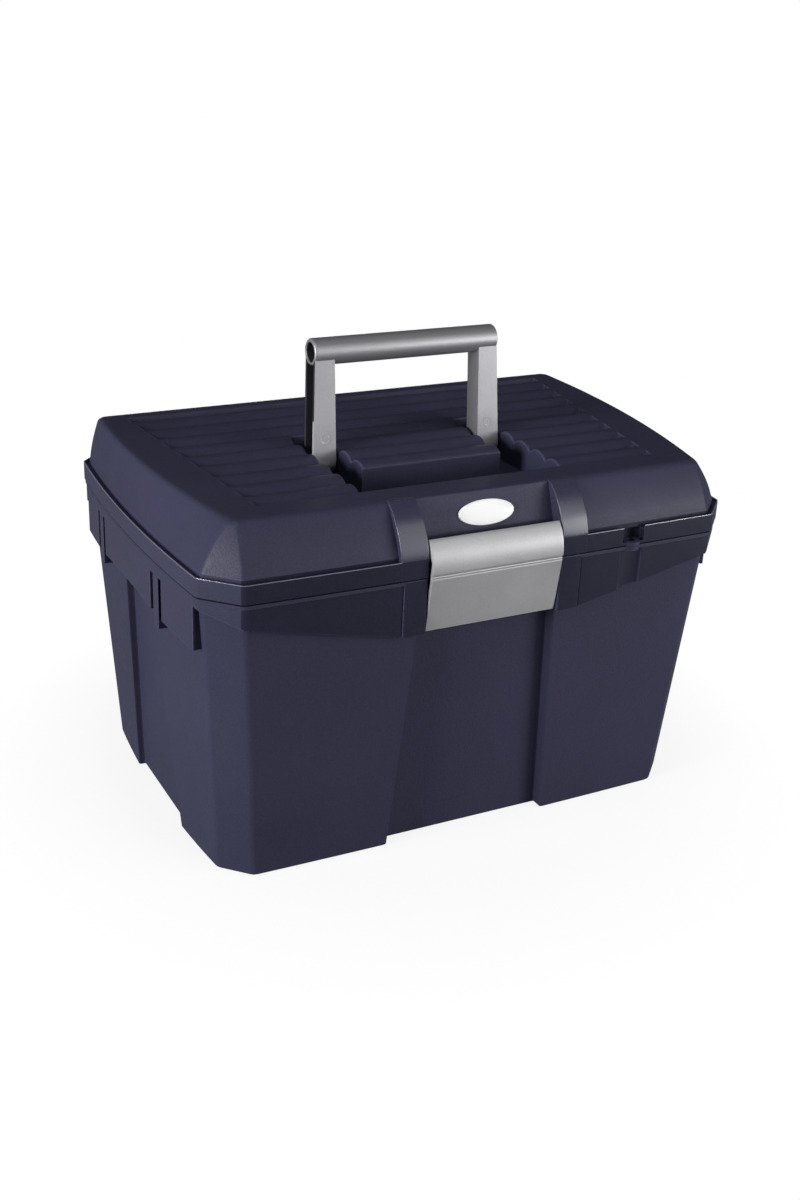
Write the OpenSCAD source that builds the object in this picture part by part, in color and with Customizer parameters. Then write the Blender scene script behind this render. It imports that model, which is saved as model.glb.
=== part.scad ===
/* [Overall] */
// Width of the lid's flange, measured at its corners
flange_w = 400; // [350:1:450]
// Depth of the lid's flange, measured at its corners
flange_d = 286; // [260:1:320]
// Height of the tub up to the parting line
tub_h = 209; // [190:1:240]
// Height of the vertical band around the lid
flange_h = 13.7; // [11:0.1:17]
// Height of the lid's front crease above the parting line
crease_h = 47; // [42:0.5:54]
// How much higher the lid's rear crease is than the front one
crease_rise = 3.4; // [0:0.1:6]
// Corner chamfer of the flange, seen from above
flange_chamfer = 23; // [17:0.5:29]
// How far each side bows out between its corners
side_bow = 6; // [2:0.5:9]
// How far the front bows out between its corners
front_bow = 2; // [0.5:0.5:2.5]

/* [Tub] */
// Wall of the tub
wall = 3; // [2:0.1:4]
// Floor of the tub
floor_t = 3; // [2:0.1:5]
// How much each wall leans in between the parting line and the foot
draft = 13.3; // [9:0.1:17]
// How far the flange stands out from the top of the tub's wall
rim_overhang = 4.4; // [3.8:0.1:6]
// Corner chamfer at the foot
foot_chamfer = 19.4; // [14:0.2:24]
// Corner chamfer at the top of the wall
top_chamfer = 20.4; // [16:0.2:25]
// Depth of the front and rear centre panels behind the corner line
front_panel_depth = 7.5; // [6:0.1:8]
// Width of the front and rear centre panels at the foot
front_panel_foot_w = 127; // [110:1:150]
// Width of the side centre panels at the foot
side_panel_foot_w = 95; // [70:1:120]
// Width of the side centre panels at the parting line
side_panel_top_w = 44; // [40:1:60]
// Thickness of the rim's ledge
rim_t = 3; // [2.4:0.1:4]
// Height of the lip that stands up inside the lid
lip_h = 5; // [3:0.1:7]
// Thickness of the lip
lip_t = 2; // [1.4:0.1:2.4]
// How far the lip stands back from the wall's outer face
lip_inset = 0.4; // [0.2:0.1:0.8]

/* [Skirt] */
// Thickness of the skirt that hangs from the rim
skirt_t = 2.5; // [1.8:0.1:3]
// How far the skirt stands back from the flange
skirt_inset = 1.2; // [0.6:0.1:1.4]
// Drop of the front skirt at the corners
skirt_corner_drop = 17; // [12:0.5:22]
// Drop of the front skirt beside the latch
skirt_latch_drop = 43; // [36:0.5:48]
// Drop of the side skirts
skirt_side_drop = 39; // [30:0.5:46]
// Rise of the side skirt's lower edge between its webs
skirt_arch = 4; // [1:0.5:8]
// Length of the side skirts
skirt_side_l = 226; // [200:1:232]
// Place of the front pair of slots in the side skirts
slot_front_y = -53; // [-70:1:-40]
// Place of the rear pair of slots in the side skirts
slot_rear_y = 69; // [50:1:80]
// Width of one slot
slot_w = 5; // [3:0.5:7]
// Width of the web between a pair of slots
web_w = 9; // [6:0.5:14]
// How far a web reaches below the skirt
web_drop = 8; // [3:0.5:12]
// Distance of the slots' upper ends below the parting line
slot_top_drop = 10; // [6:0.5:16]
// Rise of the front skirt's lower edge round each corner
skirt_corner_rise = 9; // [4:0.5:11]
// Width of the blocks that end the front skirt at the latch
end_block_w = 17; // [12:0.5:22]
// Drop of the blocks that end the front skirt
end_block_drop = 40; // [32:0.5:42]

/* [Lid] */
// Wall of the lid
lid_wall = 2.6; // [2:0.1:3]
// Wall of the lid's flange
flange_wall = 3.2; // [2.6:0.1:3.4]
// Width of the lip on the flange's top edge
flange_lip = 1.5; // [1:0.1:2]
// How far the dome's foot stands back from the flange
dome_inset = 4.2; // [3.4:0.1:5]
// Depth of the gutter between the flange's lip and the dome
gutter = 1.8; // [1:0.1:2.6]
// How far the front crease stands back from the flange
crease_front_run = 23; // [20:0.5:28]
// How far the rear crease stands back from the flange
crease_rear_run = 35; // [28:0.5:42]
// How far the sides' crease stands back from the flange at the front
crease_side_front_run = 24; // [18:0.5:30]
// How far the sides' crease stands back from the flange at the rear
crease_side_rear_run = 8.5; // [7:0.5:14]
// How far the sides' crease bows out
crease_bow = 9.2; // [6:0.1:9.6]
// Bulge of the dome's sides: 1 is flat
dome_bulge = 1.5; // [1.1:0.05:2]
// Small chamfer at the corners of the crease
crease_corner = 2; // [1:0.1:4]

/* [Ribs] */
// Spacing of the ribs on the lid
rib_pitch = 21.1; // [18:0.1:22]
// Height of the ribs
rib_h = 3.4; // [2:0.1:4]
// Number of ribs
rib_count = 9; // [6:1:9]
// Plain strip between the front crease and the first rib
rib_margin = 24; // [20:0.5:28]
// Half length of the first rib
rib_front_half = 152; // [130:1:158]
// Half length of the last rib
rib_rear_half = 173; // [150:1:178]

/* [Handle] */
// Diameter of the grip
grip_d = 19; // [17:0.5:22]
// Length of the grip over its ends
grip_l = 144; // [138:1:150]
// Diameter of the hollow in each end of the grip
grip_bore_d = 13.5; // [10:0.5:14]
// Depth of the hollow in each end of the grip
grip_bore_l = 52; // [20:1:60]
// Distance from the pivot to the grip's centre
handle_reach = 77; // [73:0.5:80]
// Width of a leg at the grip
leg_w = 15; // [12:0.5:18]
// How much wider a leg is at its foot
leg_flare = 2.5; // [0:0.1:3]
// Depth of a leg from front to back
leg_d = 16; // [12:0.5:18]
// Wall of a leg's channel
leg_wall = 2.4; // [1.8:0.1:3]
// Diameter of the pivot pins
pivot_d = 6; // [4:0.5:7]
// Gap on each side of a leg in its slot
leg_gap = 2.5; // [1:0.1:3]
// Gap in front of the folded grip
trough_gap_front = 3.3; // [2:0.1:6]
// Gap behind the folded grip, for the fingers
trough_gap_back = 22.7; // [18:0.1:25]
// Depth of the trough below the front crease
trough_depth = 22; // [21:0.5:24]
// Height of the pivot above the trough's floor
pivot_rise = 13; // [12.8:0.1:14]
// How far the pivot lies in front of the box's middle
pivot_fore = 6.7; // [4:0.1:8]
// How far the handle leans back when it is up, in degrees
handle_lean = 5; // [3:0.5:6]
// Free length of the slots behind the pivot
slot_back = 27.7; // [22:0.1:32]

/* [Latch] */
// Width of the latch flap
latch_w = 99.4; // [80:0.2:110]
// Gap at each end of the latch flap
latch_gap = 1; // [0.6:0.1:2]
// Thickness of the latch flap
latch_t = 2.7; // [2:0.1:3]
// Height of the flap's top edge above the parting line
latch_up = 24.6; // [23:0.1:27]
// Length of the flap below the parting line
latch_down = 39; // [34:0.5:44]
// How far the flap's middle stands out from the flange
latch_proud = 4.8; // [4:0.1:5.4]
// Bulge of the flap above its groove
latch_bulge = 2.2; // [1:0.1:2.4]
// Height of the groove across the flap
latch_groove_h = 2; // [1:0.1:3]
// Depth of the groove across the flap
latch_groove = 1.1; // [0.6:0.1:1.4]
// Distance of the latch pin behind the flange's face
latch_pin_inset = 4.8; // [4.6:0.1:5]
// Distance of the latch pin below the flap's top edge
latch_pin_drop = 6.6; // [6.2:0.1:7]
// Diameter of the latch pin
latch_pin_d = 4; // [3:0.2:4.6]
// Wall of the flap's knuckle around the pin
latch_knuckle_wall = 2.2; // [1.8:0.1:2.4]
// Depth of the latch pin's holes in the cheeks
latch_pin_hold = 7; // [5:0.5:10]
// Width of the cheeks beside the latch
cheek_w = 20; // [15:0.5:26]
// Radius at the front of the cheeks, where they turn back to the crease
cheek_r = 16; // [12:0.5:20]
// Width of the keeper on the tub and of the hook on the flap
keeper_w = 60; // [40:1:76]
// Height of the keeper
keeper_h = 6; // [4:0.5:8]
// Height of the keeper's underside above the flap's lower edge
keeper_rise = 14; // [11:0.5:18]
// How far the hook stands in from the flap
hook_reach = 1; // [0.6:0.1:1.4]
// Height of the hook
hook_h = 7; // [5:0.5:9]

/* [Badge] */
// Width of the blank oval badge
badge_w = 42; // [30:0.5:60]
// Height of the blank oval badge
badge_h = 17; // [12:0.5:21]
// Thickness of the badge
badge_t = 1.6; // [0.8:0.1:2.4]

/* [Hinges and padlock eye] */
// Distance of each hinge's middle from the side of the flange
hinge_inset = 80; // [60:1:100]
// Radius of the hinge knuckles
knuckle_r = 4.3; // [3.8:0.1:4.6]
// Length of the lid's knuckle in a hinge
lid_knuckle_l = 30; // [20:1:40]
// Length of each of the tub's two knuckles in a hinge
tub_knuckle_l = 12; // [8:1:18]
// Diameter of the hinge pins
hinge_pin_d = 4; // [3:0.2:4.6]
// Distance of the padlock eye from the middle of the front edge
lock_x = 109.5; // [95:0.5:130]
// Diameter of the padlock eye's holes
lock_hole_d = 6; // [5:0.2:7]
// Distance of the padlock eye behind the flange's face
lock_inset = 2.5; // [1.5:0.1:2.8]
// Width of the padlock tabs around their holes
lock_tab_wall = 3.5; // [2.5:0.1:4]
// Thickness of each padlock tab
lock_tab_t = 3; // [2:0.1:4]
// Gap around the padlock tab in its notch
lock_notch_gap = 2.5; // [1.5:0.1:3]
// Height of the gussets under the tub's knuckles
gusset_h = 14; // [10:0.5:18]

/* [Tray] */
// Gap between the tray and the tub's side walls
tray_side_gap = 8.6; // [4:0.1:20]
// Gap between the tray and the tub's front and rear panels
tray_front_gap = 7.9; // [4:0.1:20]
// Height of the tray's walls
tray_h = 55; // [40:1:56]
// Wall of the tray
tray_wall = 2; // [1.6:0.1:3]
// Radius of the tray's corners
tray_r = 14; // [8:0.5:22]
// Distance of the ledges that carry the tray below the parting line
tray_ledge_drop = 63; // [63:1:90]
// How far the ledges reach under the tray
ledge_reach = 10; // [6:0.5:16]
// Length of each ledge
ledge_l = 40; // [20:1:42]
// Thickness of each ledge
ledge_t = 6; // [4:0.5:10]
// How far the tray's grip rises above its walls
tray_grip_rise = 6; // [2:0.5:7]
// Length of the hand hole in the tray's grip
tray_hole_l = 108; // [90:1:130]
// Height of the hand hole in the tray's grip
tray_hole_h = 18; // [14:0.5:22]
// Distance of the hand hole's middle below the tray's top
tray_hole_drop = 14; // [12:0.5:20]
// How far the cross walls stop below the tray's top
tray_cross_drop = 4; // [0:0.5:10]

/* [Hidden] */
$fn = 64;

navy = "#2e2d45";
silver_grey = "#9a9aa2";
steel = "#b9bcc2";

// Overlap that keeps joined shapes from only touching
bite = 0.5;
// Clear length of a cut past a face
past = 20;
// Gap between the lid and the tub at the parting line
part_gap = 0.3;
// Radial clearance of every pin in its holes
pin_fit = 0.05;
// How far the end blocks stand back from the flange
end_block_inset = 0.6;
// Gap between pieces that pass each other
pass_gap = 0.4;
// Gap around the lid's knuckles as they turn in the tub's rim
turn_gap = 1.5;
// How far the lid's bay wall stands behind the tub's front panel
bay_step = 0.8;
// Height of the bay's knee above the latch pin
bay_knee_rise = 5;
// How far the flap's lower edge stands behind the flange's face
latch_foot_inset = 1;
// How far the flap's top edge stands in front of the latch pin
latch_top_reach = 2.6;
// How far the cheeks stand out from the flange
cheek_proud = 0.2;
// Height of the cheeks' upright front above the flange
cheek_rise = 2;
// Distance of the cheeks' upper edge in front of the crease
cheek_crest = 1.5;
// Wall of the cheeks behind the latch pin
cheek_pin_wall = 2.6;
// Distance of the hinge axis behind the flange's rear face
hinge_offset = 0.5;
// Clear space between the lip and the lid's cheeks
lip_cheek_gap = 3;
// Clear space between the lip and the lid's padlock pocket
lip_lock_gap = 1.5;
// How far the padlock groove in the skirt stands in front of the padlock eye
lock_groove_offset = 6;
// How far the padlock notch stands in front of the padlock eye
lock_notch_offset = 2;
// Height of the straight back of the tub's gussets
gusset_back_h = 4;
// Height of the straight back of the lid's knuckles
knuckle_back_h = 3;
// Distance of the lid knuckles' roots below the flange's top
knuckle_root_drop = 3.5;
// Spare length of the pins' holes
pin_spare = 1;
// How far the handle pins stand out of their walls
pin_end = 0.6;
// Wall of the bosses around the handle pins
boss_wall = 2.6;
// Share of an inset that a 45 degree chamfer loses
chamfer_loss = 2 - sqrt(2);
// Straight pieces that make one bowed edge
side_steps = 12;
front_steps = 8;

half_w = flange_w / 2;
half_d = flange_d / 2;
lid_z = tub_h + part_gap;
ledge_z = tub_h + flange_h - gutter;
crease_z = tub_h + crease_h;
crease_front_y = crease_front_run - half_d;
crease_rear_y = half_d - crease_rear_run;
top_tilt = atan(crease_rise / (crease_rear_y - crease_front_y));
draft_angle = atan(draft / tub_h);

top_half_w = half_w - rim_overhang;
top_half_d = half_d - rim_overhang;
foot_half_w = top_half_w - draft;
foot_half_d = top_half_d - draft;

latch_half = latch_w / 2;
bay_half = latch_half + latch_gap;
bay_y = -(top_half_d - front_panel_depth) + bay_step;
latch_axis_y = -(half_d - latch_pin_inset);
latch_axis_z = tub_h + latch_up - latch_pin_drop;
latch_knuckle_r = latch_pin_d / 2 + latch_knuckle_wall;
latch_front_y = -(half_d + latch_proud);
latch_foot_y = -(half_d - latch_foot_inset);
latch_foot_z = tub_h - latch_down;
cheek_y = -(half_d + front_bow + cheek_proud);
cheek_back_y = latch_axis_y + latch_knuckle_r + cheek_pin_wall;
bay_knee_z = latch_axis_z + bay_knee_rise;
bay_tilt = atan((crease_front_y - bay_y) / (crease_z - bay_knee_z));

pivot_y = -pivot_fore;
pivot_z = crease_z - trough_depth + pivot_rise;
leg_outer = grip_l / 2;
leg_inner = leg_outer - leg_w;
slot_inner = leg_inner - leg_gap;
slot_outer = leg_outer + leg_flare + leg_gap;
slot_back_y = pivot_y + slot_back;
trough_back_y = pivot_y - handle_reach + grip_d / 2 + trough_gap_back;
trough_front_y = pivot_y - handle_reach - grip_d / 2 - trough_gap_front;
trough_z = crease_z - trough_depth;
grip_z = pivot_z + handle_reach;

hinge_x = half_w - hinge_inset;
hinge_y = half_d + hinge_offset;
hinge_z = tub_h + part_gap / 2;
hinge_l = lid_knuckle_l + 2 * (tub_knuckle_l + pass_gap);

lock_y = -(half_d - lock_inset);
lock_tab_r = lock_hole_d / 2 + lock_tab_wall;
lock_notch_r = lock_tab_r + lock_notch_gap;

tray_ledge_z = tub_h - tray_ledge_drop;
tray_z = tray_ledge_z + part_gap;
keeper_z = latch_foot_z + keeper_rise;
hook_z = keeper_z - pass_gap;

// Distance of the tub's outer face from the middle at height z, from its distance at the foot
function leaned(foot, z) = foot + draft * z / tub_h;

tray_w = 2 * (leaned(foot_half_w, tray_z) - wall - tray_side_gap);
tray_d = 2 * (leaned(foot_half_d - front_panel_depth, tray_z) - wall - tray_front_gap);

// Bowed edge from p to q, with the bow along the direction out
function edge(p, q, bow, out, steps) =
    [for (i = [0 : steps]) let (u = i / steps) p + (q - p) * u + out * bow * 4 * u * (1 - u)];

// Closed outline seen from above: half widths at front and rear, front and rear lines, chamfer and bows
function outline(front_half, rear_half, front_y, rear_y, chamfer, bow, front_bow) = concat(
    edge([front_half, front_y + chamfer], [rear_half, rear_y - chamfer], bow, [1, 0], side_steps),
    edge([rear_half - chamfer, rear_y], [chamfer - rear_half, rear_y], 0, [0, 1], front_steps),
    edge([-rear_half, rear_y - chamfer], [-front_half, front_y + chamfer], bow, [-1, 0], side_steps),
    edge([chamfer - front_half, front_y], [front_half - chamfer, front_y], front_bow, [0, -1], front_steps));

// Outline of the flange, moved in by inset
function flange_outline(inset) = outline(half_w - inset, half_w - inset, inset - half_d, half_d - inset,
    flange_chamfer - chamfer_loss * inset, side_bow, front_bow);

// Outline of the tub's wall at height z, moved in by inset
function tub_outline(z, inset) = let (
    u = z / tub_h,
    w = leaned(foot_half_w, z) - inset,
    d = leaned(foot_half_d, z) - inset,
    c = foot_chamfer + (top_chamfer - foot_chamfer) * u - chamfer_loss * inset)
    outline(w, w, -d, d, c, side_bow, front_bow);

// Outline of the crease around the lid's top, moved in by inset
function crease_outline(inset) = outline(
    half_w - crease_side_front_run - inset, half_w - crease_side_rear_run - inset,
    crease_front_y + inset, crease_rear_y - inset, crease_corner, crease_bow, front_bow);

// Height of the lid's top plane at y
function top_z(y) = crease_z + (y - crease_front_y) * tan(top_tilt);

function lifted(ring, z) = [for (p = ring) [p.x, p.y, z]];

// Ring of the dome at a share s of its height, with walls moved in by inset and the top moved down
function dome_ring(s, inset, foot_z, down) = let (
    foot = flange_outline(dome_inset + inset),
    crease = crease_outline(inset),
    u = pow(s, dome_bulge))
    [for (i = [0 : len(foot) - 1]) let (p = foot[i] + (crease[i] - foot[i]) * u)
        [p.x, p.y, foot_z + (top_z(crease[i].y) - down - foot_z) * s]];

// Solid through a stack of rings that all have the same number of points
module loft(rings) {
    n = len(rings[0]);
    m = len(rings);
    sides = [for (k = [0 : m - 2], i = [0 : n - 1])
        let (a = k * n + i, b = k * n + (i + 1) % n) each [[a, a + n, b + n], [a, b + n, b]]];
    ends = [[for (i = [0 : n - 1]) i], [for (i = [n - 1 : -1 : 0]) (m - 1) * n + i]];
    polyhedron([for (r = rings) each r], concat(sides, ends), convexity = 10);
}

// Bar along X from x0 to x1 with a profile drawn in Y and Z
module along_x(x0, x1) {
    translate([x0, 0, 0]) rotate([90, 0, 90]) linear_extrude(x1 - x0) children();
}

// Plate along Y from y0 to y1 with a profile drawn in X and Z
module along_y(y0, y1) {
    translate([0, y1, 0]) rotate([90, 0, 0]) linear_extrude(y1 - y0) children();
}

module box(x, y, z) {
    translate([x[0], y[0], z[0]]) cube([x[1] - x[0], y[1] - y[0], z[1] - z[0]]);
}

module rod(x0, x1, y, z, r) {
    translate([x0, y, z]) rotate([0, 90, 0]) cylinder(r = r, h = x1 - x0);
}

module both_sides() {
    children();
    mirror([1, 0, 0]) children();
}

// Leaning wedge that sinks a centre panel into a wall, widened by grow for the inside of the wall
module panel_cut(foot_half, top_half, plane, grow) {
    slope = (foot_half - top_half) / tub_h;
    translate([0, -plane + grow / cos(draft_angle), 0]) rotate([draft_angle, 0, 0])
        along_y(-2 * past, 0) polygon([
            [-foot_half - grow - slope * past, -past], [foot_half + grow + slope * past, -past],
            [top_half + grow - slope * past, tub_h + past], [-top_half - grow + slope * past, tub_h + past]]);
}

module panel_cuts(grow) {
    for (turn = [0, 180])
        rotate(turn)
            panel_cut(front_panel_foot_w / 2, bay_half, foot_half_d - front_panel_depth, grow);
    for (turn = [90, 270])
        rotate(turn)
            panel_cut(side_panel_foot_w / 2, side_panel_top_w / 2, foot_half_w, grow);
}

// Outside of the tub's walls, or of the space inside them when inset is the wall
module tub_form(inset, z0, z1) {
    difference() {
        loft([lifted(tub_outline(z0, inset), z0), lifted(tub_outline(z1, inset), z1)]);
        panel_cuts(inset);
    }
}

// Ring between two insets of the flange's outline
module flange_ring(outer, inner, z0, z1) {
    translate([0, 0, z0]) linear_extrude(z1 - z0) difference() {
        polygon(flange_outline(outer));
        polygon(flange_outline(inner));
    }
}

// Skirt under the rim, cut to its drop on each side
module skirt() {
    corner_x = half_w - flange_chamfer;
    low = tub_h - skirt_latch_drop;
    corner_z = tub_h - skirt_corner_drop;
    side_z = tub_h - skirt_side_drop;
    half_l = skirt_side_l / 2;
    arch_steps = 8;
    intersection() {
        flange_ring(skirt_inset, skirt_inset + skirt_t, low - web_drop, tub_h - bite);
        union() {
            both_sides() along_y(-half_d - past, -half_d + flange_chamfer) polygon([
                [bay_half, low], [corner_x, corner_z], [half_w, corner_z + skirt_corner_rise],
                [half_w + past, corner_z + skirt_corner_rise], [half_w + past, tub_h], [bay_half, tub_h]]);
            box([-half_w - past, half_w + past], [half_d - flange_chamfer, half_d + past], [corner_z, tub_h]);
            along_x(-half_w - past, half_w + past) polygon(concat(
                [[half_l, tub_h], [-half_l, tub_h], [-half_l, side_z], [slot_front_y, side_z]],
                [for (i = [0 : arch_steps]) let (u = i / arch_steps)
                    [slot_front_y + (slot_rear_y - slot_front_y) * u, side_z + skirt_arch * 4 * u * (1 - u)]],
                [[slot_rear_y, side_z], [half_l, side_z]]));
        }
    }
}

// Pairs of slots in the side skirts
module skirt_slots() {
    z0 = tub_h - skirt_side_drop - web_drop;
    for (y = [slot_front_y, slot_rear_y], side = [-1, 1])
        let (mid = y + side * (web_w + slot_w) / 2)
            both_sides() box([top_half_w, half_w + past], [mid - slot_w / 2, mid + slot_w / 2],
                [z0 - past, tub_h - slot_top_drop]);
}

// Webs between the slots, from the wall out to the skirt
module skirt_webs() {
    z0 = tub_h - skirt_side_drop - web_drop;
    for (y = [slot_front_y, slot_rear_y])
        intersection() {
            both_sides() box([leaned(foot_half_w, z0) - bite, half_w + past], [y - web_w / 2, y + web_w / 2],
                [z0, tub_h - bite]);
            flange_ring(skirt_inset, rim_overhang + draft, z0, tub_h - bite);
        }
}

// Blocks that end the front skirt on both sides of the latch
module end_blocks() {
    low = tub_h - end_block_drop;
    front_y = -(half_d + front_bow - end_block_inset);
    both_sides() box([bay_half, bay_half + end_block_w], [front_y, -leaned(foot_half_d, low) + bite],
        [low, tub_h - bite]);
}

// Rim of the tub: ledge under the lid's flange and lip inside it
module tub_rim() {
    difference() {
        translate([0, 0, tub_h - rim_t]) linear_extrude(rim_t) polygon(flange_outline(skirt_inset / 2));
        tub_form(wall, tub_h - rim_t - bite, tub_h + bite);
        box([-bay_half, bay_half], [-half_d - past, bay_y], [tub_h - rim_t - bite, tub_h + bite]);
    }
    difference() {
        translate([0, 0, tub_h - bite]) linear_extrude(lip_h + bite) difference() {
            polygon(tub_outline(tub_h, lip_inset));
            polygon(tub_outline(tub_h, lip_inset + lip_t));
        }
        cheek_reach = bay_half + cheek_w + lip_cheek_gap;
        lip_z = [tub_h, tub_h + lip_h + bite];
        box([-cheek_reach, cheek_reach], [-half_d - past, -half_d + past], lip_z);
        box([-cheek_reach, cheek_reach], [half_d - past, half_d + past], lip_z);
        translate([lock_x, lock_y, tub_h])
            cylinder(r = lock_notch_r + lid_wall + lip_lock_gap, h = lip_h + bite);
    }
}

// Ledges inside the tub that carry the tray
module tray_ledges() {
    half_l = ledge_l / 2;
    z0 = tray_ledge_z - ledge_t;
    side_x = leaned(foot_half_w, z0) - wall / 2;
    front_y = leaned(foot_half_d - front_panel_depth, z0) - wall / 2;
    both_sides() box([tray_w / 2 - ledge_reach, side_x], [-half_l, half_l], [z0, tray_ledge_z]);
    for (side = [0, 1])
        mirror([0, side, 0]) box([-half_l, half_l], [-front_y, ledge_reach - tray_d / 2], [z0, tray_ledge_z]);
}

// Ridge behind the latch flap that its hook catches under
module keeper() {
    panel_y = -leaned(foot_half_d - front_panel_depth, keeper_z) + wall / 2;
    box([-keeper_w / 2, keeper_w / 2], [hook_y() + pass_gap, panel_y], [keeper_z, keeper_z + keeper_h]);
}

// Ring of the padlock eye from z0 to z1
module padlock_tab(z0, z1) {
    color(navy) translate([lock_x, lock_y, z0]) linear_extrude(z1 - z0) difference() {
        circle(r = lock_tab_r);
        circle(d = lock_hole_d);
    }
}

module padlock_tab_tub() {
    padlock_tab(tub_h - lock_tab_t, tub_h);
}

module padlock_tab_lid() {
    padlock_tab(lid_z, tub_h + lock_tab_t);
}

// Seat of a padlock tab in its moulding from z0 to z1
module padlock_seat(z0, z1) {
    translate([lock_x, lock_y, z0]) cylinder(r = lock_tab_r + pin_fit, h = z1 - z0);
}

module hinge_pins_cut(r, x_gap) {
    both_sides() rod(hinge_x - hinge_l / 2 - x_gap, hinge_x + hinge_l / 2 + x_gap, hinge_y, hinge_z, r);
}

// The tub's two knuckles of each hinge, grown by gap for the cut in the lid
module tub_knuckles(gap) {
    for (side = [-1, 1])
        let (mid = hinge_x + side * (hinge_l - tub_knuckle_l) / 2, l = tub_knuckle_l / 2 + gap)
            both_sides() rod(mid - l, mid + l, hinge_y, hinge_z, knuckle_r + gap);
}

// Gussets that carry the tub's knuckles
module tub_gussets() {
    wall_y = leaned(foot_half_d, tub_h - gusset_h) - bite;
    rear_y = hinge_y + knuckle_r;
    for (side = [-1, 1])
        let (mid = hinge_x + side * (hinge_l - tub_knuckle_l) / 2)
            both_sides() along_x(mid - tub_knuckle_l / 2, mid + tub_knuckle_l / 2) polygon([
                [wall_y, tub_h - bite], [hinge_y, tub_h - bite], [rear_y, hinge_z],
                [rear_y, tub_h - gusset_back_h], [wall_y, tub_h - gusset_h]]);
}

module tub() {
    lock_groove_y = lock_y - lock_groove_offset;
    color(navy) difference() {
        union() {
            difference() {
                union() {
                    tub_form(0, 0, tub_h);
                    tub_rim();
                    difference() {
                        skirt();
                        skirt_slots();
                    }
                    end_blocks();
                }
                tub_form(wall, floor_t, tub_h + bite);
                translate([lock_x, lock_groove_y, 0]) cylinder(r = lock_notch_r, h = tub_h - lock_tab_t);
                both_sides() rod(hinge_x - lid_knuckle_l / 2 - pass_gap,
                    hinge_x + lid_knuckle_l / 2 + pass_gap, hinge_y, hinge_z, knuckle_r + turn_gap);
            }
            skirt_webs();
            tray_ledges();
            keeper();
            tub_knuckles(0);
            tub_gussets();
        }
        padlock_seat(tub_h - lock_tab_t - pin_fit, tub_h + bite);
        hinge_pins_cut(hinge_pin_d / 2 + pin_fit, pin_spare);
    }
}

// Outside of the lid: flange, gutter and dome
module lid_form() {
    steps = 5;
    translate([0, 0, lid_z]) linear_extrude(ledge_z - lid_z) polygon(flange_outline(0));
    flange_ring(0, flange_lip, ledge_z - bite, tub_h + flange_h);
    loft([for (i = [0 : steps]) dome_ring(i / steps, 0, ledge_z - bite, 0)]);
}

// Space inside the lid
module lid_cavity() {
    steps = 3;
    translate([0, 0, lid_z - bite]) linear_extrude(ledge_z - lid_wall - lid_z + bite)
        polygon(flange_outline(flange_wall));
    loft([for (i = [0 : steps])
        dome_ring(i / steps, lid_wall, ledge_z - lid_wall - bite, lid_wall + rib_h)]);
}

// Grooves that leave the scalloped ribs on the lid's top
module rib_cut() {
    rib_r = (pow(rib_pitch / 2, 2) + pow(rib_h, 2)) / (2 * rib_h);
    y0 = rib_margin;
    y1 = rib_margin + rib_count * rib_pitch;
    valley = 0.3;
    translate([0, crease_front_y, crease_z]) rotate([top_tilt, 0, 0]) intersection() {
        translate([0, 0, -past]) linear_extrude(2 * past) polygon([
            [-rib_front_half, y0], [rib_front_half, y0], [rib_rear_half, y1], [-rib_rear_half, y1]]);
        along_x(-half_w, half_w) difference() {
            translate([y0, valley - rib_h]) square([y1 - y0, past]);
            for (i = [0 : rib_count - 1])
                translate([y0 + (i + 0.5) * rib_pitch, -rib_r]) circle(r = rib_r, $fn = 96);
        }
    }
}

// Trough for the folded grip and the two slots of its legs, grown by grow for their walls
module handle_recess(grow, z1) {
    z0 = trough_z - grow;
    box([-slot_outer - grow, slot_outer + grow], [trough_front_y - grow, trough_back_y + grow], [z0, z1]);
    both_sides() box([slot_inner - grow, slot_outer + grow], [trough_front_y, slot_back_y + grow], [z0, z1]);
}

// Profile of the bay that holds the latch and the badge, moved back by back
module bay_profile(back) {
    polygon([[bay_y + back, 0], [bay_y + back, bay_knee_z],
        [crease_front_y + back, crease_z], [crease_front_y + back, crease_z + past],
        [-half_d - past, crease_z + past], [-half_d - past, 0]]);
}

// Glossy cheek beside the latch bay: upright at the flange, then rounded and sloped back to the crease
module cheek() {
    steps = 8;
    middle = [cheek_y + cheek_r, tub_h + flange_h + cheek_rise];
    crest = [crease_front_y - cheek_crest, top_z(crease_front_y - cheek_crest)];
    reach = crest - middle;
    turn = atan2(reach[1], reach[0]) + acos(cheek_r / norm(reach));
    back_y = max(cheek_back_y, crease_front_y);
    along_x(bay_half - bite, bay_half + cheek_w) polygon([
        [cheek_y, lid_z],
        for (i = [0 : steps]) let (a = 180 + (turn - 180) * i / steps) middle + cheek_r * [cos(a), sin(a)],
        crest, [back_y, top_z(back_y)], [back_y, lid_z]]);
}

module lid_knuckles() {
    front_y = half_d - flange_wall / 2;
    rear_y = hinge_y + knuckle_r;
    root_z = tub_h + flange_h - knuckle_root_drop;
    l = lid_knuckle_l / 2;
    both_sides() {
        rod(hinge_x - l, hinge_x + l, hinge_y, hinge_z, knuckle_r);
        along_x(hinge_x - l, hinge_x + l) polygon([
            [front_y, lid_z], [hinge_y, lid_z], [rear_y, hinge_z], [rear_y, tub_h + knuckle_back_h],
            [half_d - bite, root_z], [front_y, root_z]]);
    }
}

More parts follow.
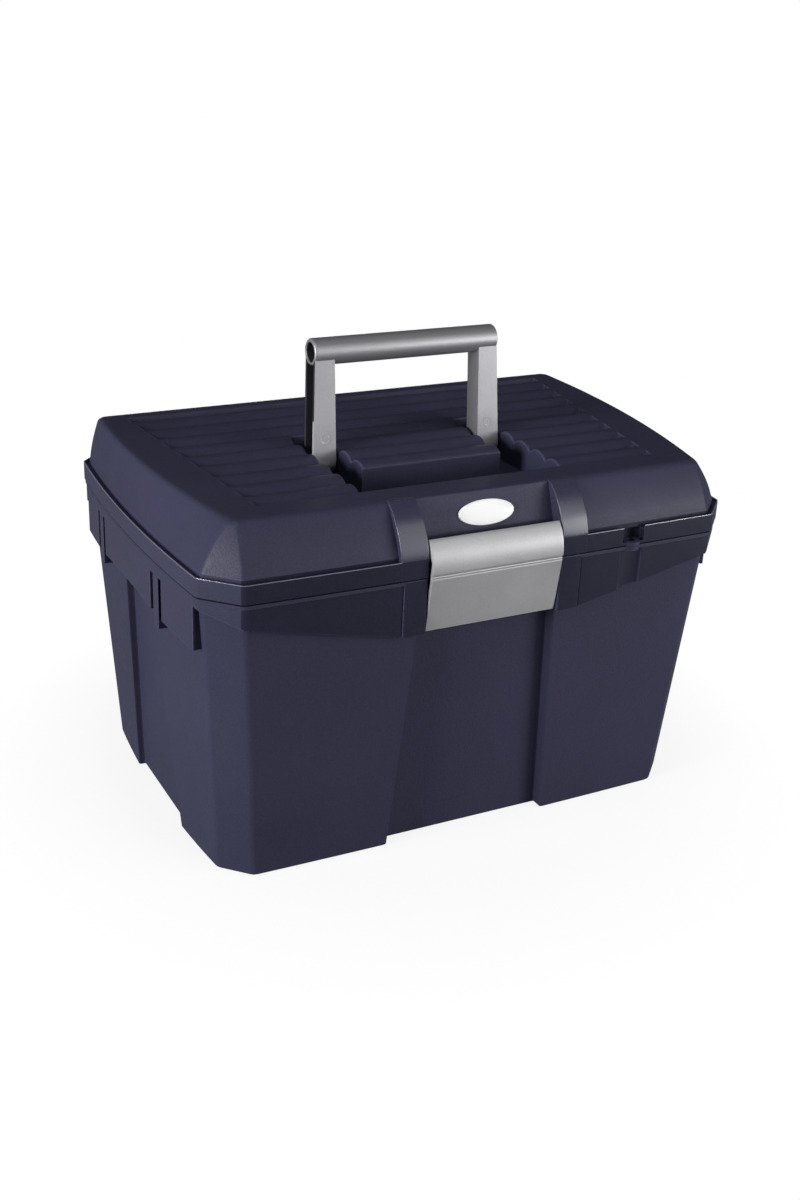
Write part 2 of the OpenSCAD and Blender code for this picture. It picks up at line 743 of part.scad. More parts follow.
module lid() {
    lock_notch_y = lock_y - lock_notch_offset;
    color(navy) difference() {
        union() {
            difference() {
                lid_form();
                lid_cavity();
            }
            intersection() {
                lid_form();
                union() {
                    handle_recess(lid_wall, crease_z + past);
                    difference() {
                        along_x(-bay_half - lid_wall, bay_half + lid_wall) bay_profile(lid_wall);
                        box([-half_w, half_w], [-half_d - past, half_d], [0, lid_z]);
                    }
                    translate([lock_x, lock_notch_y, lid_z])
                        cylinder(r = lock_notch_r + lid_wall, h = flange_h + lid_wall);
                }
            }
            both_sides() cheek();
            lid_knuckles();
        }
        rib_cut();
        handle_recess(0, crease_z + past);
        along_x(-bay_half, bay_half) bay_profile(0);
        translate([lock_x, lock_notch_y, tub_h + lock_tab_t]) cylinder(r = lock_notch_r, h = flange_h);
        tub_knuckles(pass_gap);
        hinge_pins_cut(hinge_pin_d / 2 + pin_fit, pin_spare);
        rod(-bay_half - latch_pin_hold, bay_half + latch_pin_hold, latch_axis_y, latch_axis_z,
            latch_pin_d / 2 + pin_fit);
        both_sides() rod(slot_inner - past, slot_outer + past, pivot_y, pivot_z, pivot_d / 2 + pin_fit);
        padlock_seat(lid_z - bite, tub_h + lock_tab_t + pin_fit);
    }
}

// Outer face of the latch flap below its groove, at height z
function latch_skin_y(z) =
    latch_front_y + (latch_foot_y - latch_front_y) * (tub_h - z) / (tub_h - latch_foot_z);

// Inner face of the hook on the flap
function hook_y() = latch_skin_y(hook_z - hook_h / 2) + latch_t + hook_reach;

// Face of the latch flap above its groove: a round bulge up to the top edge, moved in by inset
function latch_face(inset) = let (
    lean = 18,
    steps = 10,
    top = [latch_axis_y - latch_top_reach, tub_h + latch_up] + inset * [cos(lean), -sin(lean)],
    low = [latch_front_y + inset, tub_h + latch_groove_h])
    edge(low, top, latch_bulge, [-cos(lean), sin(lean)], steps);

module latch_flap() {
    skin = latch_face(0);
    lining = latch_face(latch_t);
    groove_y = latch_front_y + latch_groove;
    inner_low = [latch_foot_y + latch_t, latch_foot_z];
    web_y = latch_front_y + latch_t / 2;
    color(silver_grey) difference() {
        along_x(-latch_half, latch_half) {
            polygon(concat(
                [inner_low, [latch_front_y + latch_t, tub_h]], lining,
                [for (i = [len(skin) - 1 : -1 : 0]) skin[i]],
                [[groove_y, tub_h + latch_groove_h], [groove_y, tub_h], [latch_front_y, tub_h],
                    [latch_foot_y, latch_foot_z]]));
            translate([latch_axis_y, latch_axis_z]) circle(r = latch_knuckle_r);
            translate([web_y, latch_axis_z - latch_knuckle_r])
                square([latch_axis_y - web_y, latch_knuckle_r]);
        }
        rod(-latch_w, latch_w, latch_axis_y, latch_axis_z, latch_pin_d / 2 + pin_fit);
    }
    color(silver_grey) along_x(-keeper_w / 2, keeper_w / 2) polygon([
        [latch_skin_y(hook_z) + latch_t / 2, hook_z], [hook_y(), hook_z], [hook_y(), hook_z - hook_h / 2],
        [latch_skin_y(hook_z - hook_h) + latch_t / 2, hook_z - hook_h]]);
}

module latch_pin() {
    end_x = bay_half + latch_pin_hold - pin_end;
    color(steel) rod(-end_x, end_x, latch_axis_y, latch_axis_z, latch_pin_d / 2);
}

// One leg of the handle, a channel that is open to the outside
module leg() {
    foot_r = leg_d / 2;
    boss_r = pivot_d / 2 + boss_wall;
    foot_outer = leg_outer + leg_flare;
    channel_z = grip_z - grip_d / 2 - leg_wall;
    difference() {
        union() {
            along_y(-foot_r, foot_r) polygon([
                [leg_inner, pivot_z], [foot_outer, pivot_z], [leg_outer, grip_z], [leg_inner, grip_z]]);
            rod(leg_inner, foot_outer, 0, pivot_z, foot_r);
        }
        difference() {
            box([leg_inner + leg_wall, foot_outer + past], [leg_wall - foot_r, foot_r - leg_wall],
                [pivot_z, channel_z]);
            rod(leg_inner, foot_outer, 0, pivot_z, boss_r);
        }
    }
}

// Moves what is drawn upright over the box's middle to the pivot, and leans it back there
module leaned() {
    translate([0, pivot_y, pivot_z]) rotate([-handle_lean, 0, 0]) translate([0, 0, -pivot_z]) children();
}

module handle() {
    color(silver_grey) leaned() difference() {
        union() {
            rod(-leg_outer, leg_outer, 0, grip_z, grip_d / 2);
            both_sides() leg();
        }
        both_sides() rod(leg_outer - grip_bore_l, leg_outer + past, 0, grip_z, grip_bore_d / 2);
        both_sides() rod(leg_inner - past, leg_outer + past, 0, pivot_z, pivot_d / 2 + pin_fit);
    }
}

module handle_pin(side) {
    color(steel) mirror([side < 0 ? 1 : 0, 0, 0])
        rod(slot_inner - lid_wall - pin_end, slot_outer + lid_wall + pin_end, pivot_y, pivot_z, pivot_d / 2);
}

module hinge_pin(side) {
    color(steel) mirror([side < 0 ? 1 : 0, 0, 0])
        rod(hinge_x - hinge_l / 2, hinge_x + hinge_l / 2, hinge_y, hinge_z, hinge_pin_d / 2);
}

// Blank oval on the sloping face of the latch bay
module badge() {
    steps = 48;
    face_gap = 0.05;
    mid = 0.6;
    mid_y = bay_y + (crease_front_y - bay_y) * (1 - mid);
    mid_z = bay_knee_z + (crease_z - bay_knee_z) * (1 - mid);
    color("white") translate([0, mid_y, mid_z]) rotate([90 - bay_tilt, 0, 0])
        translate([0, 0, face_gap]) linear_extrude(badge_t) polygon([for (i = [0 : steps - 1])
            let (a = 360 * i / steps) [cos(a) * badge_w / 2, sin(a) * badge_h / 2]]);
}

module rounded_plate(w, d, r, z0, z1) {
    translate([0, 0, z0]) linear_extrude(z1 - z0) {
        square([w - 2 * r, d], center = true);
        square([w, d - 2 * r], center = true);
        for (x = [-1, 1], y = [-1, 1])
            translate([x * (w / 2 - r), y * (d / 2 - r)]) circle(r = r);
    }
}

// Lift-out tray: one long compartment behind a grip wall and three short ones in front of it
module tray() {
    top = tray_z + tray_h;
    hole_r = tray_hole_h / 2;
    hole_half = tray_hole_l / 2 - hole_r;
    hole_z = top - tray_hole_drop;
    grip_half = tray_hole_l / 2 + tray_hole_h;
    grip_foot = grip_half + 2 * tray_grip_rise;
    grip_end = tray_w / 2 - tray_wall / 2;
    low = tray_z + tray_wall / 2;
    short_x = tray_w / 6;
    color(navy) {
        difference() {
            rounded_plate(tray_w, tray_d, tray_r, tray_z, top);
            rounded_plate(tray_w - 2 * tray_wall, tray_d - 2 * tray_wall, tray_r - tray_wall,
                tray_z + tray_wall, top + bite);
        }
        difference() {
            along_y(-tray_wall, tray_wall) polygon([
                [-grip_end, low], [grip_end, low], [grip_end, top],
                [grip_foot, top], [grip_half, top + tray_grip_rise],
                [-grip_half, top + tray_grip_rise], [-grip_foot, top], [-grip_end, top]]);
            along_y(-past, past) {
                translate([-hole_half, hole_z - hole_r]) square([2 * hole_half, 2 * hole_r]);
                for (x = [-hole_half, hole_half])
                    translate([x, hole_z]) circle(r = hole_r);
            }
        }
        both_sides() box([short_x - tray_wall / 2, short_x + tray_wall / 2], [tray_wall / 2 - tray_d / 2, 0],
            [low, top - tray_cross_drop]);
    }
}

tub();
lid();
latch_flap();
latch_pin();
handle();
handle_pin(-1);  // handle_pin_left
handle_pin(1);  // handle_pin_right
hinge_pin(-1);  // hinge_pin_left
hinge_pin(1);  // hinge_pin_right
padlock_tab_tub();
padlock_tab_lid();
badge();
tray();
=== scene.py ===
"""Looks of a moulded grooming box: tub, ribbed lid, latch, folding handle, badge and lift-out tray."""

import logging
import math
from dataclasses import dataclass, field
from enum import Enum
from typing import Any, Callable, Iterable, Sequence

import bmesh
import bpy
from mathutils import Matrix, Vector


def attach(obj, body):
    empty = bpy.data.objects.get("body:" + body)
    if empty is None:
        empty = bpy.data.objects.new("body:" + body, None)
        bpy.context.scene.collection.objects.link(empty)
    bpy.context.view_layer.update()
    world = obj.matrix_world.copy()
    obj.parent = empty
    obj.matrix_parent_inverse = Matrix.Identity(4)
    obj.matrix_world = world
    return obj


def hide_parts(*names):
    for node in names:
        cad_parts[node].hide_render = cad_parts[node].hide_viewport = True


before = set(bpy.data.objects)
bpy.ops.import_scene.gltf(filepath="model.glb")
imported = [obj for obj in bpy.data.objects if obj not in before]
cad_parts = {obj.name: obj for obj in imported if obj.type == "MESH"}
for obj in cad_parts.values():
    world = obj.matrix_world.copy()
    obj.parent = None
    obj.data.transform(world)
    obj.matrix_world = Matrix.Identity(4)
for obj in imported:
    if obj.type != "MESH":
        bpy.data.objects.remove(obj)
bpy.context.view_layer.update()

LOG = logging.getLogger("grooming_box")
MM = 0.001
# Distance in millimetres under which two points are one
MERGE = 0.002

Flat = tuple[float, float]
Point = tuple[float, float, float]

# The corners in order round the box, each as its side of the middle and whether it is in front
CORNERS = ((-1, True), (1, True), (1, False), (-1, False))
# Widest face in millimetres that counts as an edge for the painted edge highlight
HIGHLIGHT_EDGE_WIDTH = 0.9
# Turn in degrees at which an edge begins to take the painted highlight, and the further turn that makes it
# full
HIGHLIGHT_EDGE_TURN = (24.0, 30.0)
# What a chamfer loses for each millimetre that its outline is moved in
CHAMFER_LOSS = 0.586


class Along(Enum):
    """Direction in which a drawn profile is pulled out."""

    X = "x"
    Y = "y"
    Z = "z"


class Column(Enum):
    """How a line of the lid's top grid takes its place across the box."""

    FIXED = "at its own distance from the middle"
    FIELD = "at a share of the plain ribs"
    END = "at a distance from the ribs' ends"
    MARGIN = "at a share of the flat margin"


def mixed(a: Sequence[float], b: Sequence[float], share: float) -> tuple[float, ...]:
    """Point at a share of the way from a to b."""
    return tuple(p + (q - p) * share for p, q in zip(a, b))


def curve(a: Sequence[float], corner: Sequence[float], b: Sequence[float], share: float) -> tuple[float, ...]:
    """Point at a share of the rounded way from a to b that is drawn towards a corner."""
    return mixed(mixed(a, corner, share), mixed(corner, b, share), share)


def fillet(a: Flat, corner: Flat, b: Flat, radius: float, steps: int) -> list[Flat]:
    """Rounded corner of an outline.

    Args:
        a: Point before the corner.
        corner: The sharp corner.
        b: Point after the corner.
        radius: Length that the rounding takes off each side.
        steps: Number of points, two or more.

    Returns:
        Points from the side of a to the side of b.
    """
    def off(p: Flat) -> Flat:
        """Point at the radius from the corner towards p."""
        length = math.dist(p, corner)
        return mixed(corner, p, min(radius / length, 0.49))

    start, end = off(a), off(b)
    return [curve(start, corner, end, k / (steps - 1)) for k in range(steps)]


def arc(centre: Flat, radius: float, start: float, end: float, steps: int) -> list[Flat]:
    """Points of a circular arc.

    Args:
        centre: Middle of the circle.
        radius: Radius of the circle.
        start: First angle in degrees.
        end: Last angle in degrees.
        steps: Number of points.

    Returns:
        Points from the first angle to the last.
    """
    turns = [math.radians(start + (end - start) * k / (steps - 1)) for k in range(steps)]
    return [(centre[0] + radius * math.cos(t), centre[1] + radius * math.sin(t)) for t in turns]


def circle(centre: Flat, radius: float, sides: int = 48) -> list[Flat]:
    """Points of a whole circle."""
    return arc(centre, radius, 0.0, 360.0 - 360.0 / sides, sides)


class Bench:
    """The few ways in which every piece here is shaped."""

    @staticmethod
    def clear() -> None:
        """Leave edit mode and deselect everything."""
        if bpy.context.object is not None and bpy.context.object.mode != "OBJECT":
            bpy.ops.object.mode_set(mode="OBJECT")
        bpy.ops.object.select_all(action="DESELECT")

    @staticmethod
    def hold(piece: bpy.types.Object) -> None:
        """Select one piece alone and make it the active one."""
        Bench.clear()
        piece.select_set(True)
        bpy.context.view_layer.objects.active = piece

    @staticmethod
    def join(name: str, pieces: Sequence[bpy.types.Object]) -> bpy.types.Object:
        """Join pieces into the first one.

        Args:
            name: Name of the joined piece.
            pieces: Pieces to join.

        Returns:
            The joined piece.
        """
        Bench.hold(pieces[0])
        for piece in pieces[1:]:
            piece.select_set(True)
        if len(pieces) > 1:
            bpy.ops.object.join()
        whole = bpy.context.object
        whole.name = whole.data.name = name
        return whole

    @staticmethod
    def twin(piece: bpy.types.Object, name: str, flip: Along = Along.X) -> bpy.types.Object:
        """Mirrored copy of a piece, with its own mesh.

        Args:
            piece: Piece to copy.
            name: Name of the copy.
            flip: Direction in which the copy is mirrored.

        Returns:
            The copy.
        """
        Bench.hold(piece)
        bpy.ops.object.duplicate(linked=False)
        copy = bpy.context.object
        copy.name = copy.data.name = name
        axes = tuple(way is flip for way in Along)
        bpy.ops.object.mode_set(mode="EDIT")
        bpy.ops.mesh.select_all(action="SELECT")
        bpy.ops.transform.mirror(constraint_axis=axes, center_override=(0.0, 0.0, 0.0))
        bpy.ops.mesh.normals_make_consistent(inside=False)
        bpy.ops.object.mode_set(mode="OBJECT")
        return copy

    @staticmethod
    def cut(piece: bpy.types.Object, *tools: bpy.types.Object) -> bpy.types.Object:
        """Take solids out of a piece, put them away and return the piece."""
        for tool in tools:
            Bench.hold(piece)
            step = piece.modifiers.new("tool", "BOOLEAN")
            step.object = tool
            step.operation = "DIFFERENCE"
            step.solver = "EXACT"
            bpy.ops.object.modifier_apply(modifier=step.name)
            bpy.data.objects.remove(tool, do_unlink=True)
        return piece

    @staticmethod
    def paint(piece: bpy.types.Object, finish: "Finish", chosen: Callable[[Vector, Vector], bool]) -> None:
        """Dress some faces of a piece in another finish.

        Args:
            piece: Piece with a finish all over.
            finish: Finish of the chosen faces.
            chosen: Whether a face with this middle, in millimetres, and this normal is chosen.
        """
        piece.data.materials.append(finish.material())
        for face in piece.data.polygons:
            if chosen(face.center / MM, face.normal):
                face.material_index = len(piece.data.materials) - 1

    @staticmethod
    def soften(piece: bpy.types.Object, width: float, segments: int = 2,
               angle: float = 35.0) -> bpy.types.Object:
        """Round the sharp edges of a piece.

        Args:
            piece: Piece to soften.
            width: Width of the rounding in millimetres.
            segments: Faces across the rounding.
            angle: Smallest angle in degrees that counts as an edge.

        Returns:
            The softened piece.
        """
        Bench.hold(piece)
        step = piece.modifiers.new("soften", "BEVEL")
        step.width = width * MM
        step.segments = segments
        step.limit_method = "ANGLE"
        step.angle_limit = math.radians(angle)
        step.use_clamp_overlap = True
        bpy.ops.object.modifier_apply(modifier=step.name)
        return piece

    @staticmethod
    def settle(piece: bpy.types.Object, angle: float = 32.0, weighted: bool = True) -> bpy.types.Object:
        """Merge doubles, turn the faces outwards and smooth the shading.

        Args:
            piece: Piece to finish.
            angle: Edges sharper than this stay sharp.
            weighted: Whether large faces lead the shading.

        Returns:
            The finished piece.
        """
        Bench.hold(piece)
        bpy.ops.object.mode_set(mode="EDIT")
        bpy.ops.mesh.select_all(action="SELECT")
        bpy.ops.mesh.remove_doubles(threshold=MERGE * MM)
        bpy.ops.mesh.dissolve_degenerate(threshold=MERGE / 2.0 * MM)
        bpy.ops.mesh.select_all(action="SELECT")
        bpy.ops.mesh.normals_make_consistent(inside=False)
        bpy.ops.object.mode_set(mode="OBJECT")
        bpy.ops.object.shade_smooth_by_angle(angle=math.radians(angle))
        if weighted:
            step = piece.modifiers.new("weighted", "WEIGHTED_NORMAL")
            step.mode = "FACE_AREA"
            step.keep_sharp = True
            bpy.ops.object.modifier_apply(modifier=step.name)
        return piece

    @staticmethod
    def prism(name: str, profile: Sequence[Flat], along: Along, low: float, high: float) -> bpy.types.Object:
        """Solid with one profile along its length.

        Args:
            name: Name of the solid.
            profile: Corners of the profile, in the two other directions.
            along: Direction of its length.
            low: Where it starts.
            high: Where it ends.

        Returns:
            The solid.
        """
        def at(p: Flat, s: float) -> Point:
            """Corner p of the profile at length s."""
            if along is Along.X:
                return (s, p[0], p[1])
            return (p[0], s, p[1]) if along is Along.Y else (p[0], p[1], s)

        return Stack.drawn(name, [[at(p, s) for p in profile] for s in (low, high)])

    @staticmethod
    def block(name: str, x: Flat, y: Flat, z: Flat) -> bpy.types.Object:
        """Plain block between two values in each direction."""
        return Bench.prism(name, [(x[0], y[0]), (x[1], y[0]), (x[1], y[1]), (x[0], y[1])], Along.Z, *z)

    @staticmethod
    def round_bar(name: str, along: Along, middle: Flat, radius: float, low: float,
                  high: float) -> bpy.types.Object:
        """Round bar, a tool for drilling."""
        return Bench.prism(name, circle(middle, radius), along, low, high)

    @staticmethod
    def tube(name: str, axis: Flat, radii: Flat, ends: Flat, edge: float) -> bpy.types.Object:
        """Tube along X with its outer edges taken off.

        Args:
            name: Name of the tube.
            axis: Y and Z of its axis.
            radii: Its outer and its inner radius.
            ends: Where it starts and ends.
            edge: Width that is taken off the outer edges.

        Returns:
            The tube.
        """
        (big, small), (low, high) = radii, ends
        marks = [(low, big - edge), (low + edge, big), (high - edge, big), (high, big - edge),
                 (high, small), (low, small), (low, big - edge)]
        rings = [[(x, y, z) for y, z in circle(axis, radius)] for x, radius in marks]
        return Stack(name, rings[0]).through(rings[1:]).done_as_loop()


class Stack:
    """A mesh that is drawn out ring by ring with the extrude tool."""

    def __init__(self, name: str, ring: Sequence[Point]) -> None:
        """Start with one filled ring.

        Args:
            name: Name of the piece.
            ring: Points of the first ring in millimetres.
        """
        Bench.clear()
        bpy.ops.mesh.primitive_circle_add(vertices=len(ring), radius=MM, fill_type="NGON")
        self.piece = bpy.context.object
        self.piece.name = self.piece.data.name = name
        self.ring = list(range(len(ring)))
        bpy.ops.object.mode_set(mode="EDIT")
        bpy.ops.mesh.select_mode(type="FACE")
        bpy.ops.mesh.select_all(action="SELECT")
        self.place(ring)

    def place(self, points: Sequence[Point]) -> None:
        """Put the vertices of the last ring on the given points."""
        mesh = bmesh.from_edit_mesh(self.piece.data)
        mesh.verts.ensure_lookup_table()
        for index, point in zip(self.ring, points):
            mesh.verts[index].co = Vector(point) * MM
        bmesh.update_edit_mesh(self.piece.data)

    def to(self, points: Sequence[Point]) -> None:
        """Extrude the last ring and put the new one on the given points."""
        bpy.ops.mesh.extrude_region_move(TRANSFORM_OT_translate={"value": (0.0, 0.0, 0.0)})
        mesh = bmesh.from_edit_mesh(self.piece.data)
        mesh.verts.index_update()
        mesh.verts.ensure_lookup_table()
        fresh = []
        for index in self.ring:
            vert = mesh.verts[index]
            fresh.append(next(e.other_vert(vert).index for e in vert.link_edges if e.other_vert(vert).select))
        self.ring = fresh
        self.place(points)

    def through(self, rings: Iterable[Sequence[Point]]) -> "Stack":
        """Extrude through several rings."""
        for ring in rings:
            self.to(ring)
        return self

    @classmethod
    def drawn(cls, name: str, rings: Sequence[Sequence[Point]]) -> bpy.types.Object:
        """Piece that is drawn out through rings and closed at both ends."""
        return cls(name, rings[0]).through(rings[1:]).done()

    def done(self) -> bpy.types.Object:
        """Leave edit mode with the faces turned outwards and return the piece."""
        bpy.ops.mesh.select_all(action="SELECT")
        bpy.ops.mesh.normals_make_consistent(inside=False)
        bpy.ops.object.mode_set(mode="OBJECT")
        return self.piece

    def done_as_loop(self) -> bpy.types.Object:
        """Drop both end faces, close the last ring onto the first one and return the piece."""
        count = len(self.ring)
        mesh = bmesh.from_edit_mesh(self.piece.data)
        bpy.ops.mesh.select_all(action="DESELECT")
        for face in mesh.faces:
            face.select_set(len(face.verts) == count and count > 4)
        bmesh.update_edit_mesh(self.piece.data)
        bpy.ops.mesh.delete(type="ONLY_FACE")
        bpy.ops.mesh.select_all(action="SELECT")
        bpy.ops.mesh.remove_doubles(threshold=MERGE * MM)
        return self.done()


class Sheet(Stack):
    """A grid whose outer border, and the border of a hole in it, can be drawn out ring by ring."""

    def __init__(self, name: str, columns: int, rows: int, place: Callable[[int, int], Point]) -> None:
        """Start with a grid of vertices.

        Args:
            name: Name of the piece.
            columns: Number of faces along X.
            rows: Number of faces along Y.
            place: Gives the point of the vertex in a column and a row.
        """
        Bench.clear()
        bpy.ops.mesh.primitive_grid_add(x_subdivisions=columns, y_subdivisions=rows, size=1.0)
        self.piece = bpy.context.object
        self.piece.name = self.piece.data.name = name
        self.columns, self.rows = columns, rows
        self.at: dict[tuple[int, int], int] = {}
        for vert in self.piece.data.vertices:
            spot = (round((vert.co.x + 0.5) * columns), round((vert.co.y + 0.5) * rows))
            self.at[spot] = vert.index
        for spot, index in self.at.items():
            self.piece.data.vertices[index].co = Vector(place(*spot)) * MM
        front = [(i, 0) for i in range(columns)]
        right = [(columns, j) for j in range(rows)]
        rear = [(i, rows) for i in range(columns, 0, -1)]
        left = [(0, j) for j in range(rows, 0, -1)]
        self.border = front + right + rear + left
        self.ring = [self.at[spot] for spot in self.border]
        bpy.ops.object.mode_set(mode="EDIT")
        bpy.ops.mesh.select_mode(type="EDGE")

    def pick_ring(self) -> None:
        """Select the edges of the present ring."""
        bpy.ops.mesh.select_mode(type="EDGE")
        bpy.ops.mesh.select_all(action="DESELECT")
        mesh = bmesh.from_edit_mesh(self.piece.data)
        mesh.verts.index_update()
        mesh.verts.ensure_lookup_table()
        count = len(self.ring)
        for k in range(count):
            edge = mesh.edges.get((mesh.verts[self.ring[k]], mesh.verts[self.ring[(k + 1) % count]]))
            edge.select_set(True)
        bmesh.update_edit_mesh(self.piece.data)

    def open_hole(self, cells: set[tuple[int, int]]) -> list[tuple[int, int]]:
        """Delete cells of the grid and take the border of the hole as the present ring.

        Args:
            cells: Cells to delete, each named by its lowest column and row.

        Returns:
            The grid places of the hole's border, in order.
        """
        step: dict[tuple[int, int], tuple[int, int]] = {}
        for i, j in cells:
            sides = (((i, j), (i + 1, j), (i, j - 1)), ((i + 1, j), (i + 1, j + 1), (i + 1, j)),
                     ((i + 1, j + 1), (i, j + 1), (i, j + 1)), ((i, j + 1), (i, j), (i - 1, j)))
            for start, end, beyond in sides:
                if beyond not in cells:
                    step[start] = end
        first = min(step)
        loop = [first]
        while step[loop[-1]] != first:
            loop.append(step[loop[-1]])
        corners = {frozenset(self.at[(i + a, j + b)] for a in (0, 1) for b in (0, 1)) for i, j in cells}
        bpy.ops.mesh.select_mode(type="FACE")
        bpy.ops.mesh.select_all(action="DESELECT")
        mesh = bmesh.from_edit_mesh(self.piece.data)
        mesh.verts.index_update()
        for face in mesh.faces:
            face.select_set(frozenset(v.index for v in face.verts) in corners)
        bmesh.update_edit_mesh(self.piece.data)
        bpy.ops.mesh.delete(type="ONLY_FACE")
        self.ring = [self.at[spot] for spot in loop]
        return loop

    def close_ring(self) -> None:
        """Fill the present ring with one face."""
        self.pick_ring()
        bpy.ops.mesh.edge_face_add()

    def drop_loose(self) -> None:
        """Delete the vertices and edges that no face uses."""
        bpy.ops.mesh.select_all(action="SELECT")
        bpy.ops.mesh.delete_loose(use_verts=True, use_edges=True, use_faces=False)


@dataclass(frozen=True)
class Plan:
    """Outline seen from above, with bowed sides and rounded corner chamfers."""

    front_half: float
    rear_half: float
    front_y: float
    rear_y: float
    chamfer: float
    bow: float
    front_bow: float
    corner: float

    def side_x(self, y: float) -> float:
        """Half width of the outline at y."""
        low, high = self.front_y + self.chamfer, self.rear_y - self.chamfer
        u = min(max((y - low) / (high - low), 0.0), 1.0)
        return self.front_half + (self.rear_half - self.front_half) * u + self.bow * 4.0 * u * (1.0 - u)

    def front_at(self, x: float) -> float:
        """Y of the front edge at x."""
        u = min(abs(x) / (self.front_half - self.chamfer), 1.0)
        return self.front_y - self.front_bow * (1.0 - u * u)

    def corner_stations(self, sign: int, front: bool) -> tuple[list[Flat], list[Flat], Flat]:
        """Roundings of one corner's chamfer.

        Args:
            sign: -1 for the left corner, 1 for the right one.
            front: Whether it is a front corner.

        Returns:
            Three points next to the front or rear edge from the chamfer inwards, three points next to
            the side from the chamfer onwards, and the middle of the chamfer.
        """
        half = self.front_half if front else self.rear_half
        edge_y = self.front_y if front else self.rear_y
        way = 1.0 if front else -1.0
        on_edge = (sign * (half - self.chamfer), edge_y)
        on_side = (sign * half, edge_y + way * self.chamfer)
        middle = mixed(on_edge, on_side, 0.5)
        inward = (on_edge[0] * 0.6, self.front_at(on_edge[0] * 0.6) if front else self.rear_y)
        ahead_y = on_side[1] + way * 40.0
        ahead = (sign * self.side_x(ahead_y), ahead_y)
        on_edge_line = fillet(middle, on_edge, inward, self.corner, 3)
        return on_edge_line, fillet(middle, on_side, ahead, self.corner, 3), middle

    def corner_line(self, sign: int, front: bool) -> list[Flat]:
        """Points round one corner, from the front or rear edge over the chamfer to the side."""
        edge, side, middle = self.corner_stations(sign, front)
        return edge[::-1] + [middle] + side


@dataclass(frozen=True)
class Box:
    """Main sizes that the tub and the lid share, in millimetres."""

    half_w: float = 200.0
    half_d: float = 143.0
    tub_h: float = 209.0
    part_gap: float = 0.3
    flange_h: float = 13.7
    gutter: float = 1.8
    chamfer: float = 23.0
    side_bow: float = 6.0
    front_bow: float = 2.0
    bay_half: float = 50.7
    bay_y: float = -130.3
    knee_z: float = 232.0
    crease_front_y: float = -120.0
    crease_rear_y: float = 108.0
    crease_z: float = 256.0
    crease_rise: float = 3.4
    hinge_x: float = 120.0
    hinge_y: float = 143.5
    hinge_z: float = 209.15
    knuckle_r: float = 4.3
    hinge_pin_r: float = 2.05
    lid_knuckle_l: float = 30.0
    tub_knuckle_l: float = 12.0
    knuckle_gap: float = 0.4
    knuckle_edge: float = 0.5
    lock_x: float = 109.5
    lock_y: float = -140.5
    lock_tab_r: float = 6.55
    lock_notch_r: float = 9.0
    lock_tab_t: float = 3.0

    @property
    def lid_z(self) -> float:
        """Underside of the lid."""
        return self.tub_h + self.part_gap

    @property
    def ledge_z(self) -> float:
        """Floor of the gutter around the dome."""
        return self.flange_z - self.gutter

    @property
    def flange_z(self) -> float:
        """Top of the lid's flange."""
        return self.tub_h + self.flange_h

    def knuckle_middles(self, sign: int) -> list[float]:
        """X of the tub's two knuckles of the hinge on one side."""
        length = self.lid_knuckle_l + 2.0 * (self.tub_knuckle_l + self.knuckle_gap)
        return [sign * self.hinge_x + turn * (length - self.tub_knuckle_l) / 2.0 for turn in (-1, 1)]

    def knuckle(self, name: str, low: float, high: float) -> bpy.types.Object:
        """Knuckle of a rear hinge between two places along X."""
        radii = (self.knuckle_r, self.hinge_pin_r)
        return Bench.tube(name, (self.hinge_y, self.hinge_z), radii, (low, high), self.knuckle_edge)

    def hinge_room(self, middle: float, reach: float, play: float) -> bpy.types.Object:
        """Tool that makes room for a knuckle of a rear hinge.

        Args:
            middle: X of the knuckle's middle.
            reach: Half length of the room.
            play: Room around the knuckle.

        Returns:
            The tool.
        """
        return Bench.round_bar("hinge_room", Along.X, (self.hinge_y, self.hinge_z), self.knuckle_r + play,
                               middle - reach, middle + reach)

    def top_z(self, y: float) -> float:
        """Height of the lid's top plane at y."""
        depth = self.crease_rear_y - self.crease_front_y
        return self.crease_z + (y - self.crease_front_y) * self.crease_rise / depth

    def flange(self, inset: float) -> Plan:
        """Outline of the flange, moved in by an inset."""
        return Plan(self.half_w - inset, self.half_w - inset, inset - self.half_d, self.half_d - inset,
                    self.chamfer - CHAMFER_LOSS * inset, self.side_bow, self.front_bow, 2.2)

    def crease(self, inset: float) -> Plan:
        """Outline of the crease around the lid's top, moved in by an inset."""
        return Plan(176.0 - inset, 191.5 - inset, self.crease_front_y + inset, self.crease_rear_y - inset,
                    3.0, 9.2, self.front_bow, 1.4)

    def bay_face_y(self, z: float) -> float:
        """Y of the latch bay's face at height z."""
        share = max(z - self.knee_z, 0.0) / (self.crease_z - self.knee_z)
        return self.bay_y + (self.crease_front_y - self.bay_y) * share


BOX = Box()


